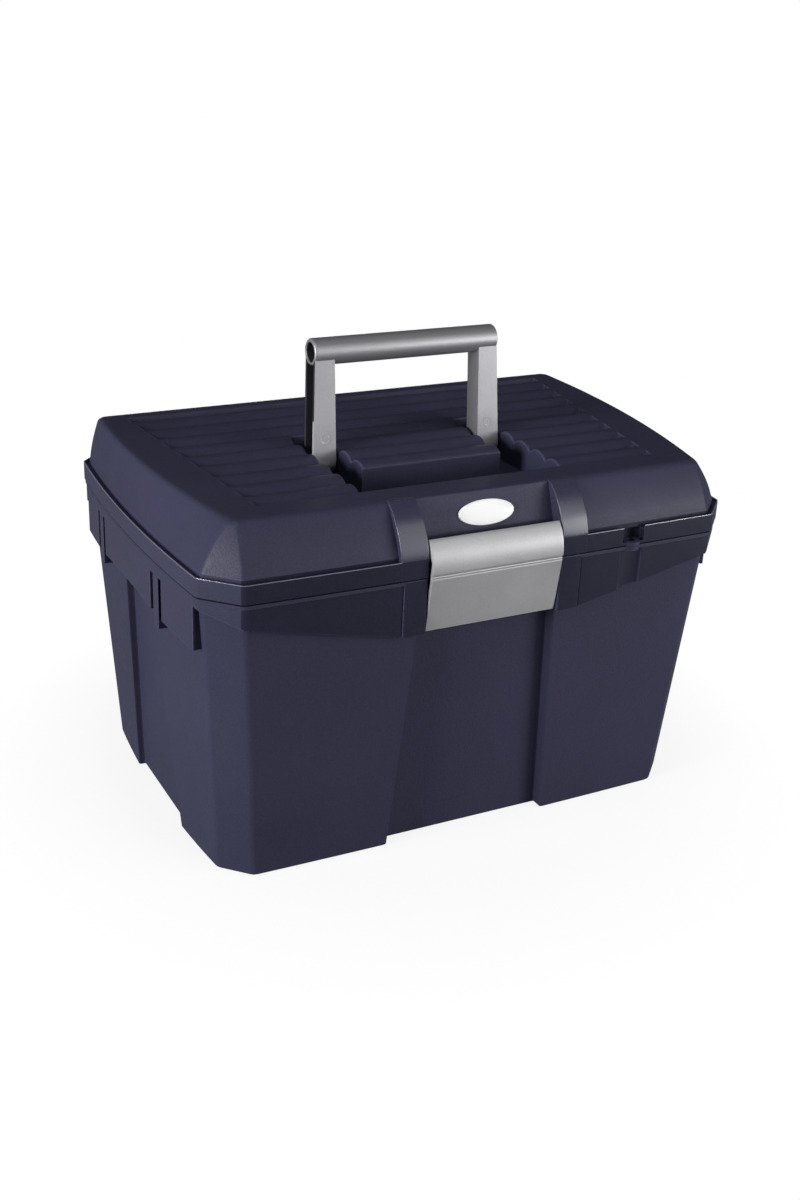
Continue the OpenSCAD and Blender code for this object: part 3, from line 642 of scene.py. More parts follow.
@dataclass
class Tub:
    """The moulded tub with its rim, skirts, webs, latch blocks, keeper, ledges and hinge knuckles."""

    finish: "Finish"
    skirt_finish: "Finish"
    front_shade_finish: "Finish"
    seam_shade_finish: "Finish"
    wall: float = 3.0
    floor: float = 3.0
    draft: float = 13.3
    top_half: Flat = (195.6, 138.6)
    foot_chamfer: float = 19.4
    top_chamfer: float = 20.4
    front_panel_depth: float = 7.5
    front_panel_half: Flat = (63.5, 50.7)
    side_panel_half: Flat = (47.5, 22.0)
    rim_t: float = 3.0
    rim_inset: float = 0.6
    skirt_inset: float = 1.2
    skirt_t: float = 2.5
    corner_drop: float = 17.0
    corner_rise: float = 9.0
    latch_drop: float = 43.0
    side_drop: float = 39.0
    side_arch: float = 4.0
    side_half_l: float = 113.0
    web_y: Flat = (-53.0, 69.0)
    web_w: float = 9.0
    web_drop: float = 8.0
    slot_w: float = 5.0
    slot_drop: float = 10.0
    block_w: float = 17.0
    block_drop: float = 40.0
    block_back_y: float = -130.0
    scoop_depth: float = 2.3
    lip_h: float = 5.0
    lip_t: float = 2.0
    lip_inset: float = 0.4
    lip_start: float = 73.7
    lip_lock: Flat = (95.0, 124.0)
    bite: float = 0.4
    rim_edge: float = 0.35
    foot_r: float = 2.0
    gusset_y: Flat = (133.0, 137.2)
    gusset_h: float = 14.0
    keeper: tuple[Flat, Flat, Flat] = ((-30.0, 30.0), (-139.25, -126.0), (184.0, 190.0))
    ledge_half: float = 20.0
    ledge_x: Flat = (170.0, 190.0)
    ledge_y: Flat = (107.4, 125.0)
    ledge_z: Flat = (140.0, 146.0)

    def plan(self, z: float, inset: float) -> Plan:
        """Outline of the wall at height z without its centre panels, moved in by an inset."""
        lean = self.draft * (1.0 - z / BOX.tub_h)
        half_w, half_d = self.top_half[0] - lean - inset, self.top_half[1] - lean - inset
        chamfer = self.foot_chamfer + (self.top_chamfer - self.foot_chamfer) * z / BOX.tub_h
        chamfer -= CHAMFER_LOSS * inset
        return Plan(half_w, half_w, -half_d, half_d, chamfer, BOX.side_bow, BOX.front_bow, 2.4)

    @property
    def skirt_plans(self) -> tuple[Plan, Plan]:
        """Outer and inner outline of the skirts."""
        return BOX.flange(self.skirt_inset), BOX.flange(self.skirt_inset + self.skirt_t)

    def edge_stations(self, plan: Plan, half: float, panel: float, side: int) -> list[tuple[Flat, float]]:
        """Points along one side of the tub, between the middles of its two corner chamfers.

        Args:
            plan: Outline at this height.
            half: Half width of the centre panel.
            panel: Distance of the panel's face from the middle.
            side: 0 front, 1 right, 2 rear, 3 left.

        Returns:
            Points in order round the tub, the first one in the middle of a chamfer, each with its place
            along the side.
        """
        lengthwise = side in (1, 3)
        sign = -1 if side in (0, 3) else 1
        way = 1.0 if side in (0, 1) else -1.0

        def on(t: float) -> Flat:
            """Point of the wall at t along the side."""
            if lengthwise:
                return (sign * plan.side_x(way * t), way * t)
            return (way * t, plan.front_at(t) if side == 0 else plan.rear_y)

        def sunk(t: float) -> Flat:
            """Point of the panel at t along the side."""
            return (sign * panel, way * t) if lengthwise else (way * t, sign * panel)

        first = plan.corner_stations(*CORNERS[side])
        last = plan.corner_stations(*CORNERS[(side + 1) % 4])
        pick = 1 if lengthwise else 0
        found: list[tuple[Flat, float]] = [(first[2], -1e3)]
        found += [(p, way * (p[1] if lengthwise else p[0])) for p in first[pick]]
        start = found[-1][1]
        run = [start + (-half - start) * s for s in (0.25, 0.5, 0.75, 0.9)]
        found += [(on(t), t) for t in run]
        for turn in (-1, 1):
            outer = fillet(on(turn * (half + 8.0)), on(turn * half), sunk(turn * half), 1.3, 3)
            inner = fillet(on(turn * half), sunk(turn * half), sunk(0.0), 1.6, 3)
            places = [turn * (half + d) for d in (1.3, 0.8, 0.3, -0.3, -0.9, -1.6)]
            step = list(zip(outer + inner, places))
            if turn < 0:
                found += step
                found += [(sunk(half * s), half * s) for s in (-0.7, -0.35, 0.0, 0.35, 0.7)]
            else:
                found += step[::-1]
        end = way * (last[pick][-1][1] if lengthwise else last[pick][-1][0])
        found += [(on(half + (end - half) * s), half + (end - half) * s) for s in (0.1, 0.25, 0.5, 0.75)]
        found += [(p, way * (p[1] if lengthwise else p[0])) for p in last[pick][::-1]]
        return found

    def ring(self, z: float, inset: float) -> list[Flat]:
        """Outline of the wall at height z with its centre panels, moved in by an inset."""
        return [p for side in range(4) for p, _ in self.stations(z, inset, side)]

    def stations(self, z: float, inset: float, side: int) -> list[tuple[Flat, float]]:
        """Points along one side at height z, moved in by an inset."""
        plan = self.plan(z, inset)
        share = z / BOX.tub_h
        lean = self.draft * (1.0 - share)
        if side in (0, 2):
            half = mixed((self.front_panel_half[0],), (self.front_panel_half[1],), share)[0] + inset
            panel = self.top_half[1] - lean - self.front_panel_depth - inset
        else:
            half = mixed((self.side_panel_half[0],), (self.side_panel_half[1],), share)[0] + inset
            panel = self.top_half[0] - lean - inset
        return self.edge_stations(plan, half, panel, side)

    def rim_ring(self, inset: float) -> list[Flat]:
        """Outline of the rim, open at the latch bay, moved in by an inset."""
        plan = BOX.flange(self.rim_inset + inset)
        points: list[Flat] = []
        for side in range(4):
            stations = self.stations(BOX.tub_h, 0.0, side)
            corners = plan.corner_stations(*CORNERS[side])
            ends = plan.corner_stations(*CORNERS[(side + 1) % 4])
            pick = 1 if side in (1, 3) else 0
            count = len(stations)
            for k, (p, place) in enumerate(stations):
                if k == 0:
                    points.append(corners[2])
                elif k <= 3:
                    points.append(corners[pick][k - 1])
                elif k >= count - 3:
                    points.append(ends[pick][count - 1 - k])
                elif side == 0 and abs(place) < self.front_panel_half[1]:
                    points.append(p)
                elif side == 0:
                    points.append((place, plan.front_at(place)))
                elif side == 2:
                    points.append((-place, plan.rear_y))
                else:
                    y = place if side == 1 else -place
                    points.append(((1.0 if side == 1 else -1.0) * plan.side_x(y), y))
        return points

    def shell(self) -> bpy.types.Object:
        """The walls, floor and rim in one drawing out."""
        def level(ring: Sequence[Flat], z: float) -> list[Point]:
            """A ring at height z."""
            return [(x, y, z) for x, y in ring]

        top = BOX.tub_h
        under = top - self.rim_t
        rings = []
        for turn in (0.0, 30.0, 60.0, 90.0):
            a = math.radians(turn)
            z = self.foot_r * (1.0 - math.cos(a))
            rings.append(level(self.ring(z, self.foot_r * (1.0 - math.sin(a))), z))
        rings += [level(self.ring(z, 0.0), z) for z in (60.0, 120.0, 180.0, under - 0.8)]
        rings.append(level(self.ring(under, -0.4), under))
        edge = self.rim_edge
        rim = ((edge, under), (0.0, under + edge), (0.0, top - edge), (edge, top))
        rings += [level(self.rim_ring(inset), z) for inset, z in rim]
        rings.append(level(self.ring(top, self.wall - 0.4), top))
        rings += [level(self.ring(z, self.wall), z) for z in (top - 0.4, 140.0, 70.0, self.floor + 4.0)]
        rings += [level(self.ring(self.floor + 1.2, self.wall + 1.2), self.floor + 1.2)]
        rings += [level(self.ring(self.floor, self.wall + 4.0), self.floor)]
        piece = Stack.drawn("tub_shell", rings)
        reach = BOX.lid_knuckle_l / 2.0 + BOX.knuckle_gap
        for sign in (-1, 1):
            Bench.cut(piece, BOX.hinge_room(sign * BOX.hinge_x, reach, 1.5))
        seat = Bench.round_bar("lock_seat", Along.Z, (BOX.lock_x, BOX.lock_y), BOX.lock_tab_r,
                               top - BOX.lock_tab_t - 0.05, top + 2.0)
        return Bench.cut(piece, seat)

    def sweep(self, name: str, path: Sequence[tuple[Flat, Flat, float]]) -> bpy.types.Object:
        """Plate that hangs from the rim.

        Args:
            name: Name of the plate.
            path: Outer point, inner point and lower edge of each station.

        Returns:
            The plate.
        """
        top = BOX.tub_h - self.rim_t + self.bite
        rings = [[(*o, top), (*o, low), (*i, low), (*i, top)] for o, i, low in path]
        return Stack.drawn(name, rings)

    def front_skirt(self, sign: int) -> bpy.types.Object:
        """Front skirt on one side of the latch, round the corner to the end of its chamfer."""
        outer, inner = self.skirt_plans
        block, far = BOX.bay_half + self.block_w, BOX.half_w - BOX.chamfer
        low, corner_z = BOX.tub_h - self.latch_drop, BOX.tub_h - self.corner_drop
        last = outer.corner_stations(1, True)[0][-1][0]
        marks = [(block - 2.0, 0.5), (block + 0.5, 0.5), (block + 0.8, 0.0)]
        if sign > 0:
            reach = BOX.lock_notch_r - 0.2
            scoop = [-math.cos(math.radians(a)) for a in range(0, 181, 12)]
            marks += [(80.0, 0.0), (92.0, 0.0), (BOX.lock_x - reach - 0.6, 0.0)]
            marks += [(BOX.lock_x + reach * s, self.scoop_depth * math.sqrt(1.0 - s * s) + 0.05)
                      for s in scoop]
            marks += [(BOX.lock_x + reach + 0.6, 0.0), (130.0, 0.0), (145.0, 0.0)]
        else:
            marks += [(block + (last - block) * s, 0.0) for s in (0.12, 0.25, 0.4, 0.55, 0.7, 0.85)]
        marks.append((last - 2.0, 0.0))
        path: list[tuple[Flat, Flat, float]] = []
        for x, sunk in marks:
            z = low + (corner_z - low) * (x - BOX.bay_half) / (far - BOX.bay_half)
            path.append(((sign * x, outer.front_at(x) + sunk), (sign * x, inner.front_at(x) + sunk), z))
        ends = (-114.0, 1.5 - self.side_half_l)
        lines = [plan.corner_line(sign, True) + [(sign * plan.side_x(y), y) for y in ends]
                 for plan in (outer, inner)]
        for o, i in zip(*lines):
            share = min(max((abs(o[0]) - far) / BOX.chamfer, 0.0), 1.0)
            path.append((o, i, corner_z + self.corner_rise * share))
        return Bench.soften(self.sweep("front_skirt", path), 0.6, 2, 60.0)

    def rear_skirt(self) -> bpy.types.Object:
        """Skirt along the rear edge and round both of its corners."""
        outer, inner = self.skirt_plans
        low = BOX.tub_h - self.corner_drop
        path: list[tuple[Flat, Flat, float]] = []
        for sign in (1, -1):
            line = zip(outer.corner_line(sign, False), inner.corner_line(sign, False))
            path += [(o, i, low) for o, i in line][::-sign]
        return Bench.soften(self.sweep("rear_skirt", path), 0.7)

    def side_skirt(self) -> bpy.types.Object:
        """Right side skirt with its two pairs of slots."""
        outer, inner = self.skirt_plans
        low = BOX.tub_h - self.side_drop
        first, last = self.web_y
        path: list[tuple[Flat, Flat, float]] = []
        for k in range(49):
            y = -self.side_half_l + 2.0 * self.side_half_l * k / 48
            share = min(max((y - first) / (last - first), 0.0), 1.0)
            z = low + self.side_arch * 4.0 * share * (1.0 - share)
            path.append(((outer.side_x(y), y), (inner.side_x(y), y), z))
        plate = self.sweep("side_skirt", path)
        top = BOX.tub_h - self.slot_drop
        for web in self.web_y:
            for turn in (-1, 1):
                near, far = web + turn * self.web_w / 2.0, web + turn * (self.web_w / 2.0 + self.slot_w)
                profile = [(near, low - 20.0), (near, top), (far, top), (far, low - 20.0)]
                tool = Bench.prism("slot", profile, Along.X, BOX.half_w - 12.0, BOX.half_w + 20.0)
                Bench.cut(plate, tool)
        return Bench.soften(plate, 0.6)

    def webs(self) -> list[bpy.types.Object]:
        """Webs of the right side, from the wall out to the skirt."""
        low = BOX.tub_h - self.side_drop - self.web_drop
        outer = BOX.flange(self.skirt_inset)
        made = []
        for web in self.web_y:
            near, far = web - self.web_w / 2.0, web + self.web_w / 2.0
            root = self.plan(low, 0.0).side_x(web) - 6.0
            plan = [(root, near), (outer.side_x(near), near), (outer.side_x(far), far), (root, far)]
            made.append(Bench.soften(Bench.prism("skirt_web", plan, Along.Z, low, BOX.tub_h - 1.0), 0.7))
        for sign in (-1, 1):
            near, far = sign * (self.side_half_l - 0.4), sign * (self.side_half_l - 4.0)
            root = self.plan(low, 0.0).side_x(far) - 4.0
            face = outer.side_x(near) - 0.8
            made.append(Bench.block("skirt_end", (root, face), (min(near, far), max(near, far)),
                                    (BOX.tub_h - self.side_drop + 0.5, BOX.tub_h - 1.0)))
        return made

    def latch_block(self) -> bpy.types.Object:
        """Block that ends the front skirt on the right of the latch."""
        front = -(BOX.half_d + BOX.front_bow - 0.6)
        low = BOX.tub_h - self.block_drop
        x0, x1 = BOX.bay_half, BOX.bay_half + self.block_w
        plan = [(x0, self.block_back_y), (x0, front), (x1, front), (x1, self.block_back_y)]
        return Bench.soften(Bench.prism("latch_block", plan, Along.Z, low, BOX.tub_h - 0.5), 0.9)

    def lips(self) -> list[bpy.types.Object]:
        """Lip that stands up inside the lid, with gaps at the cheeks, the hinges and the padlock notch."""
        z0, z1 = BOX.tub_h - 0.5, BOX.tub_h + self.lip_h
        outer, inner = self.plan(BOX.tub_h, self.lip_inset), self.plan(BOX.tub_h, self.lip_inset + self.lip_t)
        made = []
        for sign in (-1, 1):
            begin = self.lip_lock[1] if sign > 0 else self.lip_start
            line: list[tuple[Flat, Flat]] = []
            for s in (0.0, 0.5, 0.95):
                x = begin + (outer.corner_stations(1, True)[0][-1][0] - begin) * s
                line.append(((sign * x, outer.front_at(x)), (sign * x, inner.front_at(x))))
            for front in (True, False):
                run = list(zip(outer.corner_line(sign, front), inner.corner_line(sign, front)))
                line += run if front else run[::-1]
                if front:
                    ys = [-100.0 + 200.0 * k / 16 for k in range(17)]
                    line += [((sign * outer.side_x(y), y), (sign * inner.side_x(y), y)) for y in ys]
            line.append(((sign * self.lip_start, outer.rear_y), (sign * self.lip_start, inner.rear_y)))
            made.append(self.lip_strip(line, z0, z1))
        marks = (self.lip_start, 84.0, self.lip_lock[0])
        short = [((x, outer.front_at(x)), (x, inner.front_at(x))) for x in marks]
        made.append(self.lip_strip(short, z0, z1))
        return made

    def lip_strip(self, line: Sequence[tuple[Flat, Flat]], z0: float, z1: float) -> bpy.types.Object:
        """One stretch of the lip.

        Args:
            line: Outer and inner point of each station.
            z0: Foot of the lip.
            z1: Top of the lip.

        Returns:
            The strip.
        """
        section = ((0.0, z0), (0.0, z1 - 0.6), (0.3, z1), (0.7, z1), (1.0, z1 - 0.6), (1.0, z0))
        rings = [[(*mixed(o, i, share), z) for share, z in section] for o, i in line]
        return Stack.drawn("lip", rings)

    def inner_fittings(self) -> list[bpy.types.Object]:
        """Keeper behind the latch and the four ledges that carry the tray."""
        length = (-self.ledge_half, self.ledge_half)
        made = [Bench.soften(Bench.block("keeper", *self.keeper), 0.6)]
        for x in (self.ledge_x, (-self.ledge_x[1], -self.ledge_x[0])):
            made.append(Bench.soften(Bench.block("ledge", x, length, self.ledge_z), 0.8))
        for y in ((-self.ledge_y[1], -self.ledge_y[0]), self.ledge_y):
            made.append(Bench.soften(Bench.block("ledge", length, y, self.ledge_z), 0.8))
        return made

    def knuckles(self) -> list[bpy.types.Object]:
        """Knuckles and gussets of the right hinge."""
        made = []
        for middle in BOX.knuckle_middles(1):
            low, high = middle - BOX.tub_knuckle_l / 2.0, middle + BOX.tub_knuckle_l / 2.0
            made.append(BOX.knuckle("tub_knuckle", low, high))
            rear, (inner, foot), depth = BOX.hinge_y + BOX.knuckle_r, self.gusset_y, self.gusset_h
            drops = ((inner, 0.7), (BOX.hinge_y, 0.7), (rear - 0.2, 1.6), (rear, 4.0), (foot, depth),
                     (inner, depth))
            profile = [(y, BOX.tub_h - drop) for y, drop in drops]
            made.append(Bench.soften(Bench.prism("gusset", profile, Along.X, low, high), 0.6))
        return made

    def build(self) -> bpy.types.Object:
        """Build the tub and return it as one piece."""
        right = [self.side_skirt(), *self.webs(), self.latch_block(), *self.knuckles()]
        left = [Bench.twin(piece, piece.name) for piece in right]
        front = [self.front_skirt(sign) for sign in (-1, 1)]
        skirts = Bench.join("skirts", [*right, *left, *front, self.rear_skirt()])
        self.skirt_finish.put_on(skirts)
        # Painted shade: the skirts' front-facing faces take a darker copy of the navy.
        Bench.paint(skirts, self.front_shade_finish, lambda p, n: n.y < -0.8)
        shell = Bench.join("tub_shell", [self.shell(), *self.lips(), *self.inner_fittings()])
        self.finish.put_on(shell)
        # Painted shade in the parting gap: near-black navy on the rim's upper outer bevel.
        seam_z = BOX.tub_h - self.rim_edge - 0.01
        Bench.paint(shell, self.seam_shade_finish, lambda p, n: seam_z < p.z < BOX.tub_h and 0.2 < n.z < 0.9)
        piece = Bench.join("tub_body", [shell, skirts])
        Bench.settle(piece)
        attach(piece, "tub")
        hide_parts("tub")
        return piece


@dataclass
class Lid:
    """The moulded lid: flange, gutter, dome, ribs, handle trough, latch bay, cheeks and hinge knuckles."""

    finish: "Finish"
    cheek_finish: "Finish"
    flange_finish: "Finish"
    front_shade_finish: "Finish"
    rim_highlight_finish: "Finish"
    seam_shade_finish: "Finish"
    wall: float = 2.6
    flange_wall: float = 3.2
    dome_inset: float = 4.2
    bulge: float = 1.5
    crease_round: float = 3.0
    rib_y: float = -96.0
    rib_pitch: float = 21.1
    rib_count: int = 9
    rib_h: float = 4.2
    rib_valley: float = 3.9
    rib_half: Flat = (152.0, 173.0)
    rib_end: float = 6.0
    rib_past: float = 0.6
    rib_rise: float = 3.0
    slot_x: Flat = (54.5, 77.0)
    trough_y: Flat = (-96.5, -51.5)
    slot_end_y: float = 21.0
    trough_z: float = 234.0
    rim_r: float = 1.6
    cheek_w: float = 20.0
    cheek_y: float = -144.8
    cheek_r: float = 48.0
    cheek_crest: float = 2.0
    cheek_back_y: float = -129.2
    pocket_y: Flat = (-143.9, -129.5)
    pocket_half: float = 11.6
    pocket_drop: float = 1.6
    root_y: float = 141.2
    step_h: float = 1.7
    column_marks: list[tuple[Column, int, float]] = field(default_factory=list)
    row_marks: list[float] = field(default_factory=list)
    borders: dict[bool, list[Flat]] = field(default_factory=dict)

    @property
    def field_x(self) -> float:
        """Half width of the strip that holds the slots, where the plain ribs begin."""
        return self.slot_x[1] + 5.0

    @property
    def rib_last_y(self) -> float:
        """Y of the rear end of the ribs."""
        return self.rib_y + self.rib_count * self.rib_pitch

    @property
    def grid(self) -> tuple[int, int]:
        """Number of columns and rows of faces in the top."""
        return len(self.column_marks) - 1, len(self.row_marks) - 1

    def __post_init__(self) -> None:
        """Lay out the grid lines of the lid's top."""
        near, far = self.slot_x
        soft = [self.rim_r * s for s in (1.0, 0.62, 0.3, 0.08)]
        slot = [*(near - d for d in soft), near, (near + far) / 2.0, far, *(far + d for d in soft[::-1])]
        half = [(Column.FIXED, x) for x in (18.0, 36.0, 48.0, *slot, self.field_x)]
        half += [(Column.FIELD, s) for s in (0.25, 0.5, 0.75, 1.0)]
        half += [(Column.END, d) for d in (-6.0, -4.6, -3.4, -2.4, -1.5, -0.8, -0.3, 0.0, self.rib_past)]
        half += [(Column.MARGIN, s) for s in (0.2, 0.45, 0.7, 0.87, 1.0)]
        left = [(kind, -1, value) for kind, value in half[::-1]]
        self.column_marks = left + [(Column.FIXED, 1, 0.0)] + [(kind, 1, value) for kind, value in half]
        front, back = self.trough_y
        edges = [front - d for d in soft] + [front] + [back] + [back + d for d in soft[::-1]]
        edges += [self.slot_end_y] + [self.slot_end_y + d for d in soft[::-1]]
        last = self.rib_last_y
        rise = [self.rib_rise * s for s in (0.25, 0.5, 0.75)]
        rows = edges + [self.rib_y - 0.2, self.rib_y + 0.05, last - 0.05, *(last + d for d in rise)]
        shares = (0.02, 0.05, 0.1, 0.17, 0.25, 0.33, 0.42, 0.5, 0.58, 0.67, 0.75, 0.83, 0.9, 0.95, 0.98, 1.0)
        for k in range(self.rib_count):
            for share in shares:
                y = self.rib_y + (k + share) * self.rib_pitch
                if y < last - 0.1 and min(abs(y - edge) for edge in edges) > 0.22:
                    rows.append(y)
        start = BOX.crease_front_y + self.crease_round
        end = BOX.crease_rear_y - self.crease_round
        fore = [start, start + 1.5, start + 4.0, start + 8.0, start + 13.0, start + 17.5]
        aft = [last + self.rib_rise, end - 5.5, end - 3.0, end - 1.2, end]
        self.row_marks = sorted(fore + rows + aft)

    def rib_reach(self, y: float) -> float:
        """Half length of the ribs at y."""
        last = self.rib_last_y
        fore, aft = self.rib_half
        return fore + (aft - fore) * (y - self.rib_y) / (last - self.rib_y)

    def column_x(self, i: int, y: float, inset: float) -> float:
        """X of a grid column at y, on a top that is moved in by an inset."""
        kind, sign, value = self.column_marks[i]
        first = self.field_x
        reach, edge = self.rib_reach(y), BOX.crease(inset).side_x(y)
        if kind is Column.FIELD:
            return sign * (first + (reach - 11.0 - first) * value)
        if kind is Column.END:
            return sign * (reach + value)
        if kind is Column.MARGIN:
            return sign * (reach + self.rib_past + (edge - reach - self.rib_past) * value)
        return sign * value

    def column_kind_x(self, i: int) -> float:
        """Nominal X of a column on the front edge of the top."""
        return self.column_x(i, BOX.crease_front_y + self.crease_round, self.crease_round)

    def stations(self, plan: Plan) -> list[Flat]:
        """Points of an outline that match the border of the top's grid, in order."""
        columns, rows = self.grid
        inner = self.field_x
        base = BOX.crease(self.crease_round)
        base_end = base.front_half - base.chamfer - base.corner
        corners = {(s, f): plan.corner_stations(s, f) for s in (-1, 1) for f in (True, False)}

        def across(i: int, front: bool) -> Flat:
            """Point on the front or rear edge."""
            for sign, k in ((-1, i), (1, columns - i)):
                if k == 0:
                    return corners[sign, front][2]
                if k <= 3:
                    return corners[sign, front][0][k - 1]
            half = plan.front_half if front else plan.rear_half
            end = half - plan.chamfer - plan.corner
            x = self.column_kind_x(i)
            if abs(x) > inner:
                x = math.copysign(inner + (abs(x) - inner) * (end - inner) / (base_end - inner), x)
            return (x, plan.front_at(x) if front else plan.rear_y)

        def along(j: int, sign: int) -> Flat:
            """Point on a side."""
            for front, k in ((True, j), (False, rows - j)):
                if k <= 3:
                    return corners[sign, front][1][k - 1]
            low = plan.front_y + plan.chamfer + plan.corner
            high = plan.rear_y - plan.chamfer - plan.corner
            first, last = self.row_marks[3], self.row_marks[rows - 3]
            y = low + (high - low) * (self.row_marks[j] - first) / (last - first)
            return (sign * plan.side_x(y), y)

        found = [across(i, True) for i in range(columns + 1)]
        found += [along(j, 1) for j in range(1, rows)]
        found += [across(i, False) for i in range(columns, -1, -1)]
        found += [along(j, -1) for j in range(rows - 1, 0, -1)]
        return found

    def in_bay(self, k: int) -> bool:
        """Whether a border point lies on the front edge inside the latch bay."""
        return k < len(self.column_marks) and abs(self.column_kind_x(k)) <= self.slot_x[0] + 0.01

    def dome(self, share: float, inset: float, foot_z: float, down: float) -> list[Point]:
        """Ring of the dome.

        Args:
            share: Share of its height.
            inset: How far it is moved in.
            foot_z: Height of its foot.
            down: How far its top is moved down.

        Returns:
            The ring, which follows the latch bay between the cheeks.
        """
        foot, crease = self.stations(BOX.flange(self.dome_inset + inset)), self.stations(BOX.crease(inset))
        bend = share ** self.bulge
        ring = []
        for k, (f, c) in enumerate(zip(foot, crease)):
            x, y = mixed(f, c, bend)
            z = foot_z + (BOX.top_z(c[1]) - down - foot_z) * share
            if self.in_bay(k) and (inset == 0.0 or share < 0.99):
                x, y = c[0], BOX.bay_face_y(z) + inset * 1.09 - (0.0 if inset else 0.3 * share)
            ring.append((x, y, z))
        return ring

    def band(self, inset: float, z: float, bay: Flat, side_z: float) -> list[Point]:
        """Ring of the flange.

        Args:
            inset: How far it is moved in.
            z: Its height along the front.
            bay: Y and height that it takes between the cheeks instead.
            side_z: Its height along the sides and the rear.

        Returns:
            The ring.
        """
        ring = []
        for k, (x, y) in enumerate(self.stations(BOX.flange(inset))):
            ring.append((x, *bay) if self.in_bay(k) else (x, y, z if k < len(self.column_marks) else side_z))
        return ring

    def crease_bend(self, share: float) -> list[Point]:
        """Ring of the rounded crease between the top and the dome."""
        top = self.stations(BOX.crease(self.crease_round))
        crease = self.stations(BOX.crease(0.0))
        dome = self.dome(0.92, 0.0, BOX.ledge_z, 0.0)
        return [curve((*t, BOX.top_z(t[1])), (*c, BOX.top_z(c[1])), d, share)
                for t, c, d in zip(top, crease, dome)]

    def hole_gap(self, x: float, y: float) -> float:
        """Distance of a point of the top from the trough and its slots."""
        near, far = self.slot_x
        front, back = self.trough_y
        across = max(abs(x) - far, 0.0)
        trough = math.hypot(across, max(front - y, y - back, 0.0))
        slot = math.hypot(max(near - abs(x), across), max(front - y, y - self.slot_end_y, 0.0))
        return min(trough, slot)

    def top_height(self, x: float, y: float) -> float:
        """Height of the ribbed top at a point."""
        z = BOX.top_z(y)
        last = self.rib_last_y
        if self.rib_y - self.rib_rise < y < last + self.rib_rise:
            radius = (self.rib_pitch ** 2 / 4.0 + self.rib_h ** 2) / (2.0 * self.rib_h)
            off = (y - self.rib_y) % self.rib_pitch - self.rib_pitch / 2.0
            depth = min(radius - math.sqrt(radius ** 2 - off ** 2), self.rib_valley)
            beyond = max(self.rib_y - y, y - last) / self.rib_rise
            if beyond > 0.0:
                depth = self.rib_valley * (0.5 + 0.5 * math.cos(math.pi * beyond))
            share = min(max((self.rib_reach(y) - abs(x)) / self.rib_end, 0.0), 1.0)
            z -= depth * math.sqrt(1.0 - (1.0 - share) ** 2)
        gap = min(self.hole_gap(x, y), self.rim_r)
        return z - self.rim_r + math.sqrt(max(self.rim_r ** 2 - (self.rim_r - gap) ** 2, 0.0))

    def moved(self, value: float, stops: Sequence[Flat]) -> float:
        """Value moved as the nearest stops are, each given as a place and its new place."""
        for (a, na), (b, nb) in zip(stops, stops[1:]):
            if a <= value <= b:
                return na + (nb - na) * (value - a) / (b - a)
        return value

    def grid_point(self, i: int, j: int, under: bool) -> Point:
        """Point of the top's grid, or of the grid on its underside."""
        columns, rows = self.grid
        inset = self.wall if under else self.crease_round
        down = self.wall + self.rib_h
        if i in (0, columns) or j in (0, rows):
            if j == 0:
                k = i
            elif i == columns:
                k = columns + j
            else:
                k = 2 * columns + rows - i if j == rows else 2 * (columns + rows) - j
            x, y = self.borders[under][k]
            return (x, y, BOX.top_z(y) - (down if under else 0.0))
        y = self.row_marks[j]
        x = self.column_x(i, y, inset)
        if not under:
            blend = max(0.0, 1.0 - (y - self.row_marks[0]) / 15.0)
            return (x, y - BOX.front_bow * (1.0 - (x / 170.0) ** 2) * blend, self.top_height(x, y))
        wall = self.wall
        near, far = self.slot_x
        front, back = self.trough_y
        stops_x = [(0.0, 0.0), (36.0, 34.0), (near, near - wall), (far, far + wall),
                   (self.field_x, self.field_x)]
        end = self.slot_end_y
        stops_y = [(front - 8.0, front - 8.0), (front, front - wall), (back, back + wall),
                   (back + 6.0, back + 7.0), (end - 6.0, end - 4.5), (end, end + wall),
                   (end + 8.0, end + 8.0)]
        x, y = math.copysign(self.moved(abs(x), stops_x), x), self.moved(y, stops_y)
        return (x, y, BOX.top_z(y) - down)

    def hole_cells(self) -> set[tuple[int, int]]:
        """Cells of the grid that the trough and its slots take away."""
        cells = set()
        for i in range(len(self.column_marks) - 1):
            x = (self.column_x(i, 0.0, 3.0) + self.column_x(i + 1, 0.0, 3.0)) / 2.0
            for j in range(len(self.row_marks) - 1):
                y = (self.row_marks[j] + self.row_marks[j + 1]) / 2.0
                if self.hole_gap(x, y) == 0.0:
                    cells.add((i, j))
        return cells

    def sink(self, sheet: Sheet, floor: float, round_r: float) -> None:
        """Draw the border of the trough down to its floor and close it.

        Args:
            sheet: Grid with the trough's hole.
            floor: Height of the floor.
            round_r: Radius along the foot of the walls.
        """
        places = sheet.open_hole(self.hole_cells())
        mesh = bmesh.from_edit_mesh(sheet.piece.data)
        mesh.verts.ensure_lookup_table()
        line = [mesh.verts[sheet.at[p]].co / MM for p in places]
        inward = []
        for k, (i, j) in enumerate(places):
            before, after = places[k - 1], places[(k + 1) % len(places)]
            leads = {(before[1] - j, i - before[0]), (j - after[1], after[0] - i)}
            inward.append((sum(lead[0] for lead in leads), sum(lead[1] for lead in leads)))
        sheet.pick_ring()
        for off, rise in ((0.0, 1.0), (0.12, 0.5), (0.5, 0.12), (1.0, 0.0)):
            inset, z = off * round_r, floor + rise * round_r
            sheet.to([(p.x + lead[0] * inset, p.y + lead[1] * inset, z) for p, lead in zip(line, inward)])
        sheet.close_ring()
        sheet.drop_loose()

